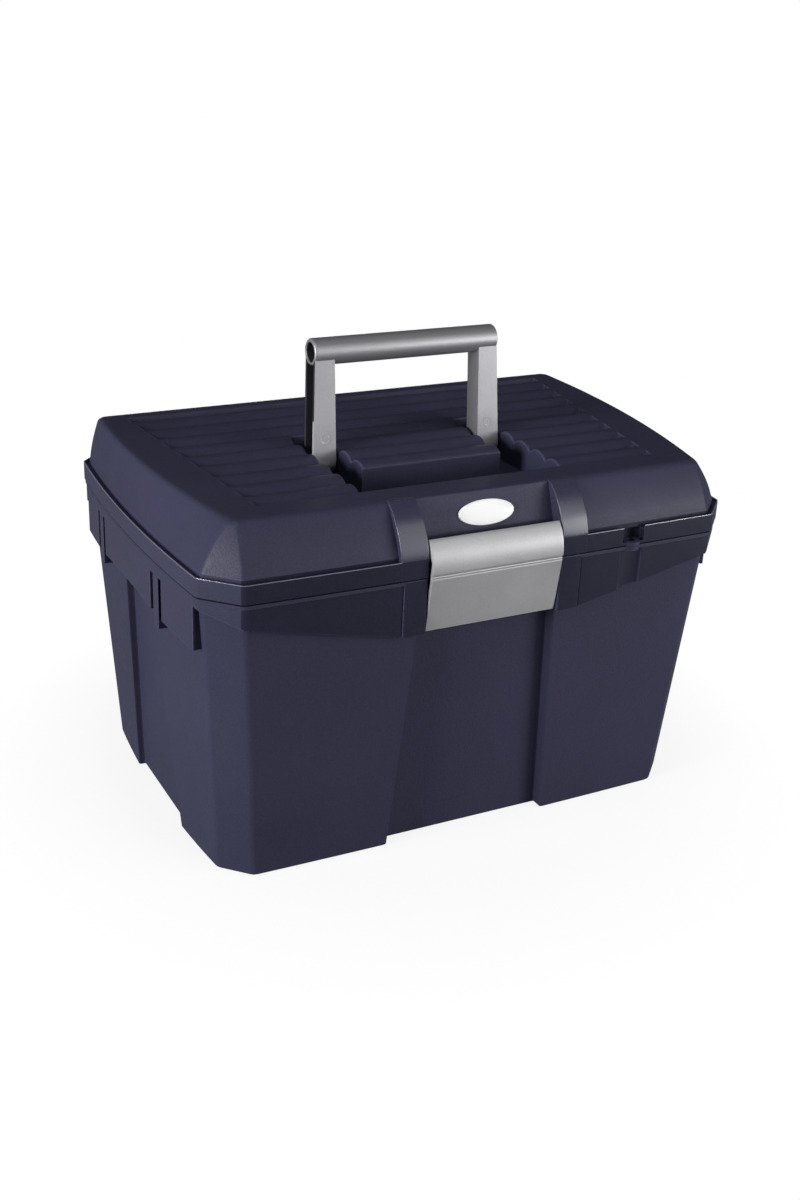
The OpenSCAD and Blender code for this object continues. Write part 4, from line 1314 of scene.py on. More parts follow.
    def shell(self) -> bpy.types.Object:
        """The dome, flange, ribbed top and trough in one drawing out."""
        columns, rows = self.grid
        self.borders = {under: self.stations(BOX.crease(self.wall if under else self.crease_round))
                        for under in (False, True)}
        sheet = Sheet("lid_shell", columns, rows, lambda i, j: self.grid_point(i, j, False))
        top, lid_z, ledge = BOX.flange_z, BOX.lid_z, BOX.ledge_z
        knee = (BOX.knee_z - ledge) / (BOX.crease_z - ledge)
        rings = [self.crease_bend(s) for s in (0.25, 0.5, 0.75)]
        rings += [self.dome(s, 0.0, ledge, 0.0)
                  for s in (0.92, 0.84, 0.75, 0.66, 0.57, 0.48, 0.4, knee + 0.035, knee, knee - 0.035, 0.2)]
        dome_step = ((4.4, top + 1.95), (4.25, top + 1.8), (4.15, top + 1.5))
        gutter = ((4.1, ledge + 0.3), (3.9, ledge - 0.8), (3.4, ledge - 1.3), (2.9, ledge - 1.4),
                  (1.8, ledge - 1.4), (1.3, ledge - 1.1))
        rim = ((1.2, top - 0.45), (1.0, top - 0.1), (0.7, top), (0.45, top), (0.15, top - 0.12),
               (0.0, top - 0.45))
        foot = ((0.0, lid_z + 0.6), (0.15, lid_z + 0.15), (0.5, lid_z))
        steps = dome_step + gutter + rim + foot
        fall = (top + 3.5 - lid_z) / (len(steps) - 1)
        for k, (i, z) in enumerate(steps):
            side_z = z + (top - 1.0 - z) * 0.7 if i > 1.1 and z < top - 1.0 else z
            rings.append(self.band(i, z, (BOX.bay_y, top + 3.5 - fall * k), side_z))
        inner = ((-0.3, lid_z), (0.0, lid_z + 0.3), (0.0, ledge - self.wall - 1.0), (1.0, ledge - self.wall))
        rings += [self.band(self.flange_wall + i, z, (BOX.bay_y + self.wall, z), z) for i, z in inner]
        down = self.wall + self.rib_h
        rings += [self.dome(s, self.wall, ledge - self.wall, down) for s in (0.02, 0.2, 0.4, 0.6, 0.8, 1.0)]
        sheet.pick_ring()
        sheet.through(rings)
        self.sink(sheet, self.trough_z, 2.2)
        outside = sheet.done()
        lower = Sheet("lid_ceiling", columns, rows, lambda i, j: self.grid_point(i, j, True))
        self.sink(lower, self.trough_z - self.wall, 0.4)
        piece = Bench.join("lid_shell", [outside, lower.done()])
        Bench.settle(piece, weighted=False)
        reach = BOX.tub_knuckle_l / 2.0 + BOX.knuckle_gap
        for middle in BOX.knuckle_middles(-1) + BOX.knuckle_middles(1):
            Bench.cut(piece, BOX.hinge_room(middle, reach, BOX.knuckle_gap))
        return Bench.cut(piece, *self.lock_tools())

    def lock_tools(self) -> list[bpy.types.Object]:
        """Tools that open the half-round padlock notch, up into the gutter, and the seat of its tab."""
        low, r, y = BOX.tub_h + BOX.lock_tab_t, BOX.lock_notch_r, BOX.lock_y - 4.0
        foot = BOX.flange(self.dome_inset).front_at(BOX.lock_x) - 0.1
        reach = math.degrees(math.asin((foot - y) / r))
        notch = Bench.round_bar("lock_notch", Along.Z, (BOX.lock_x, y), r, low, BOX.ledge_z - 0.1)
        front = arc((BOX.lock_x, y), r, 180.0 - reach, 360.0 + reach, 40)
        mouth = Bench.prism("lock_mouth", front, Along.Z, BOX.ledge_z - 3.0, BOX.ledge_z + 6.0)
        seat = Bench.round_bar("lock_seat", Along.Z, (BOX.lock_x, BOX.lock_y), BOX.lock_tab_r,
                               BOX.tub_h - 2.0, BOX.tub_h + BOX.lock_tab_t + 0.05)
        return [notch, mouth, seat]

    def lock_pocket(self) -> bpy.types.Object:
        """Pocket wall behind the padlock notch."""
        line = []
        foot = BOX.flange(self.dome_inset).front_at(BOX.lock_x)
        crease = BOX.crease(0.0).front_at(BOX.lock_x)
        for share in (0.0, 0.06, 0.13, 0.2, 0.28):
            y = foot + (crease - foot) * share ** self.bulge + 1.0
            line.append((y, BOX.ledge_z + (BOX.crease_z - BOX.ledge_z) * share - 0.3))
        (front, back), low, top = self.pocket_y, BOX.lid_z + 0.05, BOX.ledge_z - self.pocket_drop
        profile = [(back, low), (front, low), (front, top), (line[0][0], top), *line, (back, line[-1][1])]
        piece = Bench.prism("lock_pocket", profile, Along.X, BOX.lock_x - self.pocket_half,
                            BOX.lock_x + self.pocket_half)
        return Bench.cut(piece, *self.lock_tools())

    def cheek(self) -> bpy.types.Object:
        """Glossy cheek right of the latch bay: upright at the flange, then rounded up to the crease."""
        y, low = self.cheek_y, BOX.lid_z + 0.25
        foot = Vector((y, BOX.flange_z))
        crest = Vector((BOX.crease_front_y - self.cheek_crest, BOX.crease_z))
        span = crest - foot
        rise = math.sqrt(self.cheek_r ** 2 - (span.length / 2.0) ** 2)
        middle = (foot + crest) / 2.0 + Vector((span.y, -span.x)).normalized() * rise
        begin, end = (math.degrees(math.atan2(p.y - middle.y, p.x - middle.x)) % 360.0 for p in (foot, crest))
        back = self.cheek_back_y
        profile = [(back, low), (y, low), *arc(tuple(middle), self.cheek_r, begin, end, 25)]
        profile += [(crest[0] + 1.0, crest[1] + 0.03), (-117.0, BOX.top_z(-117.0) + 0.06), (-116.0, 249.0),
                    (back, 230.0)]
        piece = Bench.prism("cheek", profile, Along.X, BOX.bay_half, BOX.bay_half + self.cheek_w)
        return Bench.soften(piece, 0.5, 3, 50.0)

    def knuckle(self) -> list[bpy.types.Object]:
        """Knuckle of the right hinge with its root on the flange."""
        low, high = BOX.hinge_x - BOX.lid_knuckle_l / 2.0, BOX.hinge_x + BOX.lid_knuckle_l / 2.0
        rear, root = BOX.hinge_y + BOX.knuckle_r, BOX.flange_z - 3.5
        low_z = BOX.lid_z + 0.6
        profile = [(self.root_y, low_z), (BOX.hinge_y, low_z), (rear - 0.15, BOX.lid_z + 1.2),
                   (rear, BOX.tub_h + 3.0), (BOX.half_d - 0.4, root), (self.root_y, root)]
        return [BOX.knuckle("lid_knuckle", low, high),
                Bench.soften(Bench.prism("knuckle_root", profile, Along.X, low, high), 0.5)]

    def build(self) -> bpy.types.Object:
        """Build the lid and return it as one piece."""
        shell = self.shell()
        right = self.knuckle()
        left = [Bench.twin(piece, piece.name) for piece in right]
        body = Bench.join("lid_body", [shell, self.lock_pocket(), *right, *left])
        self.finish.put_on(body)
        edge = BOX.flange_z
        Bench.paint(body, self.flange_finish, lambda p, n: p.z < edge + self.step_h)
        # Painted shade: the flange's front-facing faces take a darker copy of the navy.
        Bench.paint(body, self.front_shade_finish, lambda p, n: p.z < edge + self.step_h and n.y < -0.8)
        # Painted highlight: the flange's top lip takes a lighter navy; its higher gloss is real.
        Bench.paint(body, self.rim_highlight_finish, lambda p, n: edge - 0.35 < p.z < edge + 0.1 and n.z > 0.3)
        # Painted shade in the parting gap: near-black navy on the lid's lower edge bevel.
        Bench.paint(body, self.seam_shade_finish, lambda p, n: p.z < BOX.lid_z + 0.61 and -0.98 < n.z < -0.2)
        cheek = self.cheek()
        self.cheek_finish.put_on(cheek)
        # Painted shade: the cheek's foot below the flange edge takes the darker front navy.
        Bench.paint(cheek, self.front_shade_finish, lambda p, n: p.z < edge)
        piece = Bench.join("lid_body", [body, cheek, Bench.twin(cheek, "cheek_left")])
        Bench.settle(piece, 30.0)
        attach(piece, "lid")
        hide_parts("lid")
        return piece


def shrunk(profile: Sequence[Flat], by: float) -> list[Flat]:
    """Closed anticlockwise profile with its sides moved in."""
    count = len(profile)
    moved = []
    for k in range(count):
        a, p, b = Vector(profile[k - 1]), Vector(profile[k]), Vector(profile[(k + 1) % count])
        before, after = (p - a).normalized(), (b - p).normalized()
        lead = Vector((-before.y - after.y, before.x + after.x))
        lead = lead.normalized() if lead.length > 1e-6 else Vector((-after.y, after.x))
        moved.append(tuple(p + lead * by))
    return moved


@dataclass
class Latch:
    """Silver flap that swings over the parting line."""

    finish: "Finish"
    half: float = 49.7
    front_y: float = -147.8
    foot: Flat = (-142.0, 170.0)
    top: Flat = (-140.8, 233.6)
    thickness: float = 2.7
    bulge: float = 2.2
    axis: Flat = (-138.2, 227.0)
    knuckle_r: float = 4.2
    pin_r: float = 2.05
    end_edge: float = 0.4
    web_y: Flat = (-143.6, -138.2)
    hook: tuple[Flat, ...] = ((-142.4, 183.6), (-139.75, 183.6), (-139.75, 180.0), (-141.2, 176.6))
    hook_half: float = 30.0

    def face(self) -> list[Flat]:
        """Outer face of the flap from its lower edge to its top edge."""
        z = BOX.tub_h
        y = self.front_y
        line: list[Flat] = [(self.foot[0] + 0.9, self.foot[1]), (self.foot[0] + 0.2, self.foot[1] + 0.25),
                            (self.foot[0] - 0.1, self.foot[1] + 1.0)]
        line += [mixed(self.foot, (y, z), s) for s in (0.25, 0.5, 0.75, 0.96)]
        line += [(y + 0.03, z - 0.75), (y + 0.2, z - 0.35), (y + 0.5, z - 0.05), (y + 1.0, z + 0.15)]
        line += [(y + 1.0, z + 0.4), (y + 0.35, z + 0.5), (y + 0.12, z + 0.75), (y + 0.14, z + 1.1),
                 (y + 0.4, z + 1.5), (y + 0.8, z + 1.75), (y + 1.1, z + 1.9)]
        line += [(y + 1.0, z + 2.1), (y + 0.2, z + 2.2), (y - 0.3, z + 2.45), (y - 0.5, z + 2.9)]
        start, lean = (y - 0.6, z + 3.6), math.radians(18.0)
        for k in range(13):
            s = k / 12
            swell = self.bulge * 4.0 * s * (1.0 - s)
            p = mixed(start, self.top, s)
            line.append((p[0] - swell * math.cos(lean), p[1] + swell * math.sin(lean)))
        return line

    def build(self) -> bpy.types.Object:
        """Build the latch and return it as one piece."""
        outer = self.face()
        t = self.thickness
        inner = [(self.top[0] + t * 0.95, self.top[1] - 0.8), (self.top[0] + 0.6, self.top[1] - 6.0),
                 (self.front_y + t - 1.0, BOX.tub_h + 11.0), (self.front_y + t, BOX.tub_h + 3.0),
                 (self.front_y + t + 0.2, BOX.tub_h - 2.0), (self.foot[0] + t, self.foot[1] + 0.4)]
        top_round = [(self.top[0] + 0.9, self.top[1] + 0.25)]
        profile = (outer + top_round + inner)[::-1]
        sections = [(0.5, -self.half), (0.16, -self.half + 0.18), (0.0, -self.half + 0.6)]
        sections += [(inset, -x) for inset, x in sections[::-1]]
        rings = [[(x, y, z) for y, z in shrunk(profile, inset)] for inset, x in sections]
        flap = Stack.drawn("latch_face", rings)
        reach = self.half - self.end_edge
        radii = (self.knuckle_r, self.pin_r)
        bar = Bench.tube("latch_knuckle", self.axis, radii, (-reach, reach), self.end_edge)
        web = Bench.block("latch_web", (-self.half + 1.0, self.half - 1.0), self.web_y,
                          (self.axis[1] - self.knuckle_r + 0.1, self.axis[1]))
        tool = Bench.round_bar("latch_bore", Along.X, self.axis, self.knuckle_r - 0.4, -self.half, self.half)
        Bench.cut(web, tool)
        hook = Bench.prism("latch_hook", self.hook, Along.X, -self.hook_half, self.hook_half)
        piece = Bench.join("latch_front", [flap, bar, web, Bench.soften(hook, 0.4)])
        Bench.settle(piece, 40.0)
        self.finish.put_on(piece)
        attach(piece, "latch")
        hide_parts("latch_flap")
        return piece


@dataclass
class Handle:
    """Silver folding handle: a hollow round grip on two legs that are open channels."""

    finish: "Finish"
    grip_shaded_finish: "Finish"
    cavity_shade_finish: "Finish"
    grip_r: float = 9.5
    bore_r: float = 6.75
    half: float = 72.0
    bore_l: float = 52.0
    pivot: Flat = (-6.7, 247.0)
    lean: float = 5.0
    reach: float = 77.0
    leg_inner: float = 57.0
    flare: float = 2.5
    leg_r: float = 8.0
    leg_wall: float = 2.4
    pivot_r: float = 3.05

    @property
    def grip_z(self) -> float:
        """Height of the grip's middle while the handle is drawn upright."""
        return self.pivot[1] + self.reach

    def grip(self) -> bpy.types.Object:
        """The grip with a hollow in each end."""
        end, big, small = self.half, self.grip_r, self.bore_r
        half = [(end - self.bore_l, small), (end - 0.9, small), (end - 0.3, small + 0.2), (end, small + 0.7),
                (end, big - 1.3), (end - 0.25, big - 0.55), (end - 0.8, big - 0.12), (end - 1.5, big)]
        marks = half + [(-x, r) for x, r in half[::-1]]
        rings = [[(x, y, z) for y, z in circle((0.0, self.grip_z), r, 64)] for x, r in marks]
        return Stack.drawn("grip", rings)

    def leg(self) -> bpy.types.Object:
        """The right leg: a channel that is open to the outside."""
        foot, r = self.pivot[1], self.leg_r
        profile = [(r, self.grip_z), (r, foot + 30.0), *arc((0.0, foot), r, 0.0, -180.0, 25),
                   (-r, foot + 30.0), (-r, self.grip_z)]
        shares = [min(1.0, (self.grip_z - z) / self.reach) for _, z in profile]
        out = [self.half - 0.4 + (self.flare + 0.4) * share for share in shares]
        rings = [[(self.leg_inner, y, z) for y, z in profile], [(x, y, z) for x, (y, z) in zip(out, profile)]]
        piece = Stack.drawn("leg", rings)
        room, top = r - self.leg_wall, self.grip_z - self.bore_r - 0.6
        channel = [*arc((0.0, foot), room, 0.0, 180.0, 25), (-room, top), (room, top)]
        past = 95.0
        Bench.cut(piece, Bench.prism("channel", channel, Along.X, self.leg_inner + self.leg_wall, past),
                  Bench.round_bar("pivot_bore", Along.X, (0.0, foot), self.pivot_r, 50.0, past),
                  Bench.round_bar("grip_hollow", Along.X, (0.0, self.grip_z), self.bore_r + 0.1, 40.0, past))
        Bench.hold(piece)
        bpy.ops.object.mode_set(mode="EDIT")
        bpy.ops.mesh.select_all(action="SELECT")
        bpy.ops.mesh.bisect(plane_co=(0.0, 0.0, 0.0), plane_no=(0.0, 1.0, 0.0))
        bpy.ops.object.mode_set(mode="OBJECT")
        return Bench.soften(piece, 0.7, 3, 40.0)

    def in_painted_shade(self, p: Vector, n: Vector) -> bool:
        """Whether a face lies in the grip's bores, in a leg's channel or on a channel's rear edge, where dark
        is painted as shade.
        """
        in_bore = math.hypot(p.y, p.z - self.grip_z) < self.bore_r + 0.05 and abs(p.x) < self.half - 0.9
        room = self.leg_r - self.leg_wall + 0.05
        under = p.z < self.grip_z - self.grip_r + 1.5
        in_leg = under and p.z > self.pivot[1] + 4.0 and abs(p.y) < room
        rear = under and p.y > 0.0 and math.copysign(n.x, n.x * p.x) > 0.2
        return in_bore or rear or (in_leg and abs(p.x) > self.leg_inner + self.leg_wall - 0.1)

    def mark(self, x: float, y: float, z: float, radius: float) -> bpy.types.Object:
        """Faint round mark that an ejector pin leaves on a front face."""
        def ring(size: float, out: float) -> list[Point]:
            """Ring of the mark."""
            return [(px, y - out, pz) for px, pz in circle((x, z), size, 24)]

        rings = [ring(radius, -0.4), ring(radius, 0.12), ring(radius - 0.25, 0.22), ring(radius - 0.6, 0.12),
                 ring(radius - 0.8, 0.05)]
        return Stack.drawn("ejector_mark", rings)

    def build(self) -> bpy.types.Object:
        """Build the handle and return it as one piece."""
        leg = self.leg()
        mark = self.mark(self.leg_inner + 8.0, -self.leg_r, self.pivot[1] + 17.0, 3.5)
        grip = self.grip()
        self.grip_shaded_finish.put_on(grip)
        legs = Bench.join("legs", [leg, mark, Bench.twin(leg, "leg_left"), Bench.twin(mark, "mark_left")])
        self.finish.put_on(legs)
        # The legs' inner faces take the grip's darker copy of the silver: the darker colour is painted shade,
        # the stronger metallic gloss is real.
        Bench.paint(legs, self.grip_shaded_finish, lambda p, n: n.x * p.x < -0.7 * abs(p.x))
        piece = Bench.join("handle_body", [grip, legs])
        Bench.settle(piece, 35.0)
        # Painted shade: the bores, the channels and the channels' rear edges take a near-black silver.
        Bench.paint(piece, self.cavity_shade_finish, self.in_painted_shade)
        foot = Vector((0.0, 0.0, self.pivot[1])) * MM
        turn = Matrix.Rotation(-math.radians(self.lean), 4, "X") @ Matrix.Translation(-foot)
        piece.matrix_world = Matrix.Translation(foot + Vector((0.0, self.pivot[0] * MM, 0.0))) @ turn
        Bench.hold(piece)
        bpy.ops.object.transform_apply(location=True, rotation=True, scale=True)
        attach(piece, "handle")
        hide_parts("handle")
        return piece


@dataclass
class Badge:
    """Blank oval on the sloping face of the latch bay, with a thin raised rim round a clear dome."""

    finish: "Finish"
    half: Flat = (21.0, 8.5)
    middle: Flat = (-126.18, 241.6)
    tilt: float = 66.8

    def build(self) -> bpy.types.Object:
        """Build the badge and return it as one piece."""
        turn = math.radians(self.tilt)
        out = Vector((0.0, -math.sin(turn), math.cos(turn)))
        up = Vector((0.0, math.cos(turn), math.sin(turn)))

        def oval(inset: float, height: float) -> list[Point]:
            """Ring of the badge, moved in by an inset."""
            ring = []
            for k in range(72):
                a = math.tau * k / 72
                side, rise = (self.half[0] - inset) * math.cos(a), (self.half[1] - inset) * math.sin(a)
                p = Vector((side, *self.middle)) + up * rise + out * height
                ring.append(tuple(p))
            return ring

        rim = ((0.0, -0.5), (0.0, 1.0), (0.12, 1.3), (0.4, 1.45), (0.75, 1.38), (1.0, 1.15))
        dome = ((1.15, 1.12), (1.6, 1.25), (2.8, 1.42), (4.2, 1.55), (5.8, 1.64), (7.4, 1.68))
        rings = [oval(i, h) for i, h in rim + dome]
        piece = Stack.drawn("badge_oval", rings)
        Bench.settle(piece, 60.0, False)
        self.finish.put_on(piece)
        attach(piece, "lid")
        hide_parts("badge")
        return piece


@dataclass
class Tray:
    """Lift-out tray with a grip wall, one long compartment behind it and three short ones in front."""

    finish: "Finish"
    half: Flat = (180.0, 116.2)
    low: float = 146.3
    height: float = 55.0
    wall: float = 2.0
    corner: float = 14.0
    grip_rise: float = 6.0
    hole_half: float = 54.0
    hole_h: float = 18.0
    hole_drop: float = 14.0
    cross_x: float = 60.0
    cross_drop: float = 4.0

    def ring(self, inset: float, z: float) -> list[Point]:
        """Rounded rectangle, moved in by an inset."""
        w, d, r = self.half[0] - inset, self.half[1] - inset, max(self.corner - inset, 3.0)
        line: list[Flat] = []
        for sx, sy, start in ((1, -1, 270.0), (1, 1, 0.0), (-1, 1, 90.0), (-1, -1, 180.0)):
            line += arc((sx * (w - r), sy * (d - r)), r, start, start + 90.0, 9)
        return [(x, y, z) for x, y in line]

    def build(self) -> bpy.types.Object:
        """Build the tray and return it as one piece."""
        top, t = self.low + self.height, self.wall
        rings = [self.ring(i, z) for i, z in (
            (3.0, self.low), (0.9, self.low + 0.5), (0.0, self.low + 2.5), (0.0, top - 0.5), (0.3, top),
            (t - 0.3, top), (t, top - 0.5), (t, self.low + 4.5), (t + 0.9, self.low + 2.4),
            (t + 3.0, self.low + t))]
        cup = Stack.drawn("tray_cup", rings)
        half, foot = self.hole_half + self.hole_h, self.hole_half + self.hole_h + 2.0 * self.grip_rise
        end, low = self.half[0] - t / 2.0, self.low + t / 2.0
        profile = [(-end, low), (end, low), (end, top - 0.4), (foot, top - 0.4), (half, top + self.grip_rise),
                   (-half, top + self.grip_rise), (-foot, top - 0.4), (-end, top - 0.4)]
        grip = Bench.prism("tray_grip", profile, Along.Y, -t, t)
        r = self.hole_h / 2.0
        hole = arc((self.hole_half - r, top - self.hole_drop), r, -90.0, 90.0, 17)
        hole += [(-x, 2.0 * (top - self.hole_drop) - z) for x, z in hole]
        Bench.cut(grip, Bench.prism("hand_hole", hole, Along.Y, -20.0, 20.0))
        Bench.soften(grip, 0.8)
        walls = []
        for x in (-self.cross_x, self.cross_x):
            across, depth = (x - t / 2.0, x + t / 2.0), (t / 2.0 - self.half[1], 0.0)
            wall = Bench.block("tray_cross", across, depth, (low, top - self.cross_drop))
            walls.append(Bench.soften(wall, 0.5))
        piece = Bench.join("tray_body", [cup, grip, *walls])
        Bench.settle(piece, 40.0)
        self.finish.put_on(piece)
        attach(piece, "tray")
        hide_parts("tray")
        return piece


class Socket:
    """Output of a shader node that is used in sums like a number."""

    def __init__(self, recipe: "Recipe", link: bpy.types.NodeSocket) -> None:
        """Wrap an output.

        Args:
            recipe: Recipe that the node belongs to.
            link: The output.
        """
        self.recipe, self.link = recipe, link

    def sum(self, operation: str, a: Any, b: Any) -> "Socket":
        """Math node on two values."""
        return self.recipe.node("ShaderNodeMath", {"operation": operation}, {0: a, 1: b})

    def __add__(self, other: Any) -> "Socket":
        """This plus another."""
        return self.sum("ADD", self, other)

    def __radd__(self, other: Any) -> "Socket":
        """Another plus this."""
        return self.sum("ADD", other, self)

    def __sub__(self, other: Any) -> "Socket":
        """This minus another."""
        return self.sum("SUBTRACT", self, other)

    def __rsub__(self, other: Any) -> "Socket":
        """Another minus this."""
        return self.sum("SUBTRACT", other, self)

    def __mul__(self, other: Any) -> "Socket":
        """This times another."""
        return self.sum("MULTIPLY", self, other)

    def __rmul__(self, other: Any) -> "Socket":
        """Another times this."""
        return self.sum("MULTIPLY", other, self)


class Recipe:
    """Node tree of one material or of the world."""

    def __init__(self, tree: bpy.types.NodeTree) -> None:
        """Start from an empty tree.

        Args:
            tree: Tree to fill.
        """
        self.tree = tree
        tree.nodes.clear()

    def node(self, kind: str, settings: dict[str, Any] | None = None, sockets: dict[Any, Any] | None = None,
             output: Any = 0) -> Socket:
        """Add a node.

        Args:
            kind: Type of the node.
            settings: Its settings, with a ramp's stops under "stops".
            sockets: Values or links of its inputs, by name or number.
            output: Name or number of the output that is wanted.

        Returns:
            That output.
        """
        made = self.tree.nodes.new(kind)
        for key, value in (settings or {}).items():
            if key == "stops":
                ramp = made.color_ramp
                while len(ramp.elements) < len(value):
                    ramp.elements.new(0.5)
                for element, (place, colour) in zip(ramp.elements, value):
                    element.position, element.color = place, colour
            else:
                setattr(made, key, value)
        for key, value in (sockets or {}).items():
            if isinstance(value, Socket):
                self.tree.links.new(value.link, made.inputs[key])
            else:
                made.inputs[key].default_value = value
        return Socket(self, made.outputs[output] if len(made.outputs) else None)

    def place(self) -> Socket:
        """Object coordinates."""
        return self.node("ShaderNodeTexCoord", output="Object")

    def spread(self, low: float, high: float, value: Socket, start: float, end: float) -> Socket:
        """Value brought from one range into another, and held there.

        Args:
            low: Result at the start.
            high: Result at the end.
            value: Value to bring over.
            start: Start of its own range.
            end: End of its own range.

        Returns:
            The result.
        """
        return self.node("ShaderNodeMapRange", {"clamp": True}, {
            "Value": value, "From Min": start, "From Max": end, "To Min": low, "To Max": high})

    def noise(self, scale: float, detail: float, rough: float, stretch: Point = (1.0, 1.0, 1.0)) -> Socket:
        """Noise on Object coordinates.

        Args:
            scale: Spots per metre.
            detail: Layers of finer noise.
            rough: Share of the finer layers.
            stretch: Scale along each direction.

        Returns:
            The noise, about 0.5 on average.
        """
        at = self.node("ShaderNodeMapping", None, {"Vector": self.place(), "Scale": stretch}, "Vector")
        return self.node("ShaderNodeTexNoise", None, {
            "Vector": at, "Scale": scale, "Detail": detail, "Roughness": rough}, "Fac")

    def tint(self, share: Any, a: Any, b: Any) -> Socket:
        """Colour between two colours."""
        return self.node("ShaderNodeMix", {"data_type": "RGBA"}, {0: share, 6: a, 7: b}, 2)


def toned(colour: Point, factor: float) -> tuple[float, ...]:
    """Opaque colour, made lighter or darker by a factor."""
    return (*(min(c * factor, 1.0) for c in colour), 1.0)


@dataclass(frozen=True)
class Finish:
    """A finish that a piece can be dressed in."""

    name: str

    def shade(self, recipe: Recipe) -> Socket:
        """Shader of the finish."""
        raise NotImplementedError

    def material(self) -> bpy.types.Material:
        """The finish as a material, made on first use."""
        known = bpy.data.materials.get(self.name)
        if known is not None:
            return known
        made = bpy.data.materials.new(self.name)
        made.use_nodes = True
        recipe = Recipe(made.node_tree)
        recipe.node("ShaderNodeOutputMaterial", None, {"Surface": self.shade(recipe)})
        return made

    def put_on(self, piece: bpy.types.Object) -> None:
        """Dress a piece all over."""
        piece.data.materials.clear()
        piece.data.materials.append(self.material())


def mark_painted_highlight_edges(piece: bpy.types.Object) -> None:
    """Mark the narrow faces along the outer edges of a piece in an attribute, from 0 to 1 on an edge, where
    the finishes paint a highlight.
    """
    mesh = bmesh.new()
    mesh.from_mesh(piece.data)
    values = []
    for face in mesh.faces:
        longest = max(edge.calc_length() for edge in face.edges)
        sides = [edge for edge in face.edges if edge.is_manifold and edge.calc_length() > 0.6 * longest]
        turn = sum(max(math.degrees(edge.calc_face_angle_signed(0.0)), 0.0) for edge in sides)
        narrow = face.calc_area() / longest < HIGHLIGHT_EDGE_WIDTH * MM
        values.append(min(max((turn - HIGHLIGHT_EDGE_TURN[0]) / HIGHLIGHT_EDGE_TURN[1], 0.0), 1.0) if narrow else 0.0)
    mesh.free()
    mark = piece.data.attributes.new("edge", "FLOAT", "FACE")
    mark.data.foreach_set("value", values)


@dataclass(frozen=True)
class NavyPlastic(Finish):
    """Dark navy polypropylene with a fine moulded grain."""

    colour: Point = (0.0335, 0.0333, 0.064)
    rough: float = 0.46
    grain: float = 0.5
    specular: float = 0.16
    edge_highlight_strength: float = 0.7
    mottle: float = 1.0

    def shade(self, recipe: Recipe) -> Socket:
        """Shader with mottled colour, grain and a painted highlight along the edges, broken up by noise."""
        cloud = recipe.noise(9.0, 3.0, 0.55)
        speck = recipe.noise(420.0, 2.0, 0.6)
        pores = recipe.noise(800.0, 1.0, 0.5)
        scuff_and_highlight_noise = recipe.noise(60.0, 4.0, 0.65, (1.0, 5.0, 5.0))
        edge = recipe.node("ShaderNodeAttribute", {"attribute_name": "edge"}, output="Fac")
        dark = toned(self.colour, 0.88)
        light = toned(self.colour, 1.12)
        # Painted highlight: narrow edge faces are lightened towards twice the base colour, patchy with noise.
        edge_highlight_colour = toned(self.colour, 2.0)
        body = recipe.tint(recipe.spread(0.0, 1.0, cloud * 0.5 + pores * 0.5, 0.36, 0.64), dark, light)
        body = recipe.tint(edge * recipe.spread(self.edge_highlight_strength * 0.6, self.edge_highlight_strength, scuff_and_highlight_noise, 0.4, 0.62), body, edge_highlight_colour)
        patchy = (speck - 0.5) * 0.12 + recipe.spread(0.0, 0.08, scuff_and_highlight_noise, 0.5, 0.7)
        rough = self.rough + patchy * self.mottle - edge * 0.08
        bump = recipe.node("ShaderNodeBump", None, {
            "Strength": self.grain, "Distance": 0.0003, "Height": pores * 0.7 + speck * 0.3}, "Normal")
        return recipe.node("ShaderNodeBsdfPrincipled", None, {
            "Base Color": body, "Roughness": rough, "Specular IOR Level": self.specular, "Normal": bump})


@dataclass(frozen=True)
class SilverPlastic(Finish):
    """Silver-grey polypropylene with a metallic fleck and faint flow lines."""

    colour: Point = (0.385, 0.383, 0.398)
    flow: Point = (1.0, 1.0, 1.0)
    metal: float = 0.35
    rough: float = 0.42

    def shade(self, recipe: Recipe) -> Socket:
        """Shader with fleck, flow lines, a satin gloss and a painted highlight along the edges."""
        cells = recipe.node("ShaderNodeTexVoronoi", None, {
            "Vector": recipe.place(), "Scale": 2600.0}, "Color")
        fleck = recipe.node("ShaderNodeSeparateColor", None, {"Color": cells}, "Red")
        flow = recipe.noise(16.0, 4.0, 0.6, self.flow)
        fine = recipe.noise(700.0, 2.0, 0.5)
        dark = toned(self.colour, 0.88)
        light = toned(self.colour, 1.12)
        shade = recipe.spread(0.0, 1.0, flow * 0.75 + fleck * 0.25, 0.3, 0.68)
        body = recipe.tint(shade, dark, light)
        edge = recipe.node("ShaderNodeAttribute", {"attribute_name": "edge"}, output="Fac")
        # Painted highlight: edge faces are lightened towards 1.35 times the base colour.
        body = recipe.tint(edge * 0.35, body, toned(self.colour, 1.35))
        rough = self.rough + (fine - 0.5) * 0.12 + (fleck - 0.5) * 0.08
        metal = self.metal + recipe.spread(0.0, 0.2, fleck, 0.75, 1.0)
        bump = recipe.node("ShaderNodeBump", None, {
            "Strength": 0.18, "Distance": 0.0001, "Height": fine}, "Normal")
        return recipe.node("ShaderNodeBsdfPrincipled", None, {
            "Base Color": body, "Roughness": rough, "Metallic": metal, "Specular IOR Level": 0.45,
            "Normal": bump})


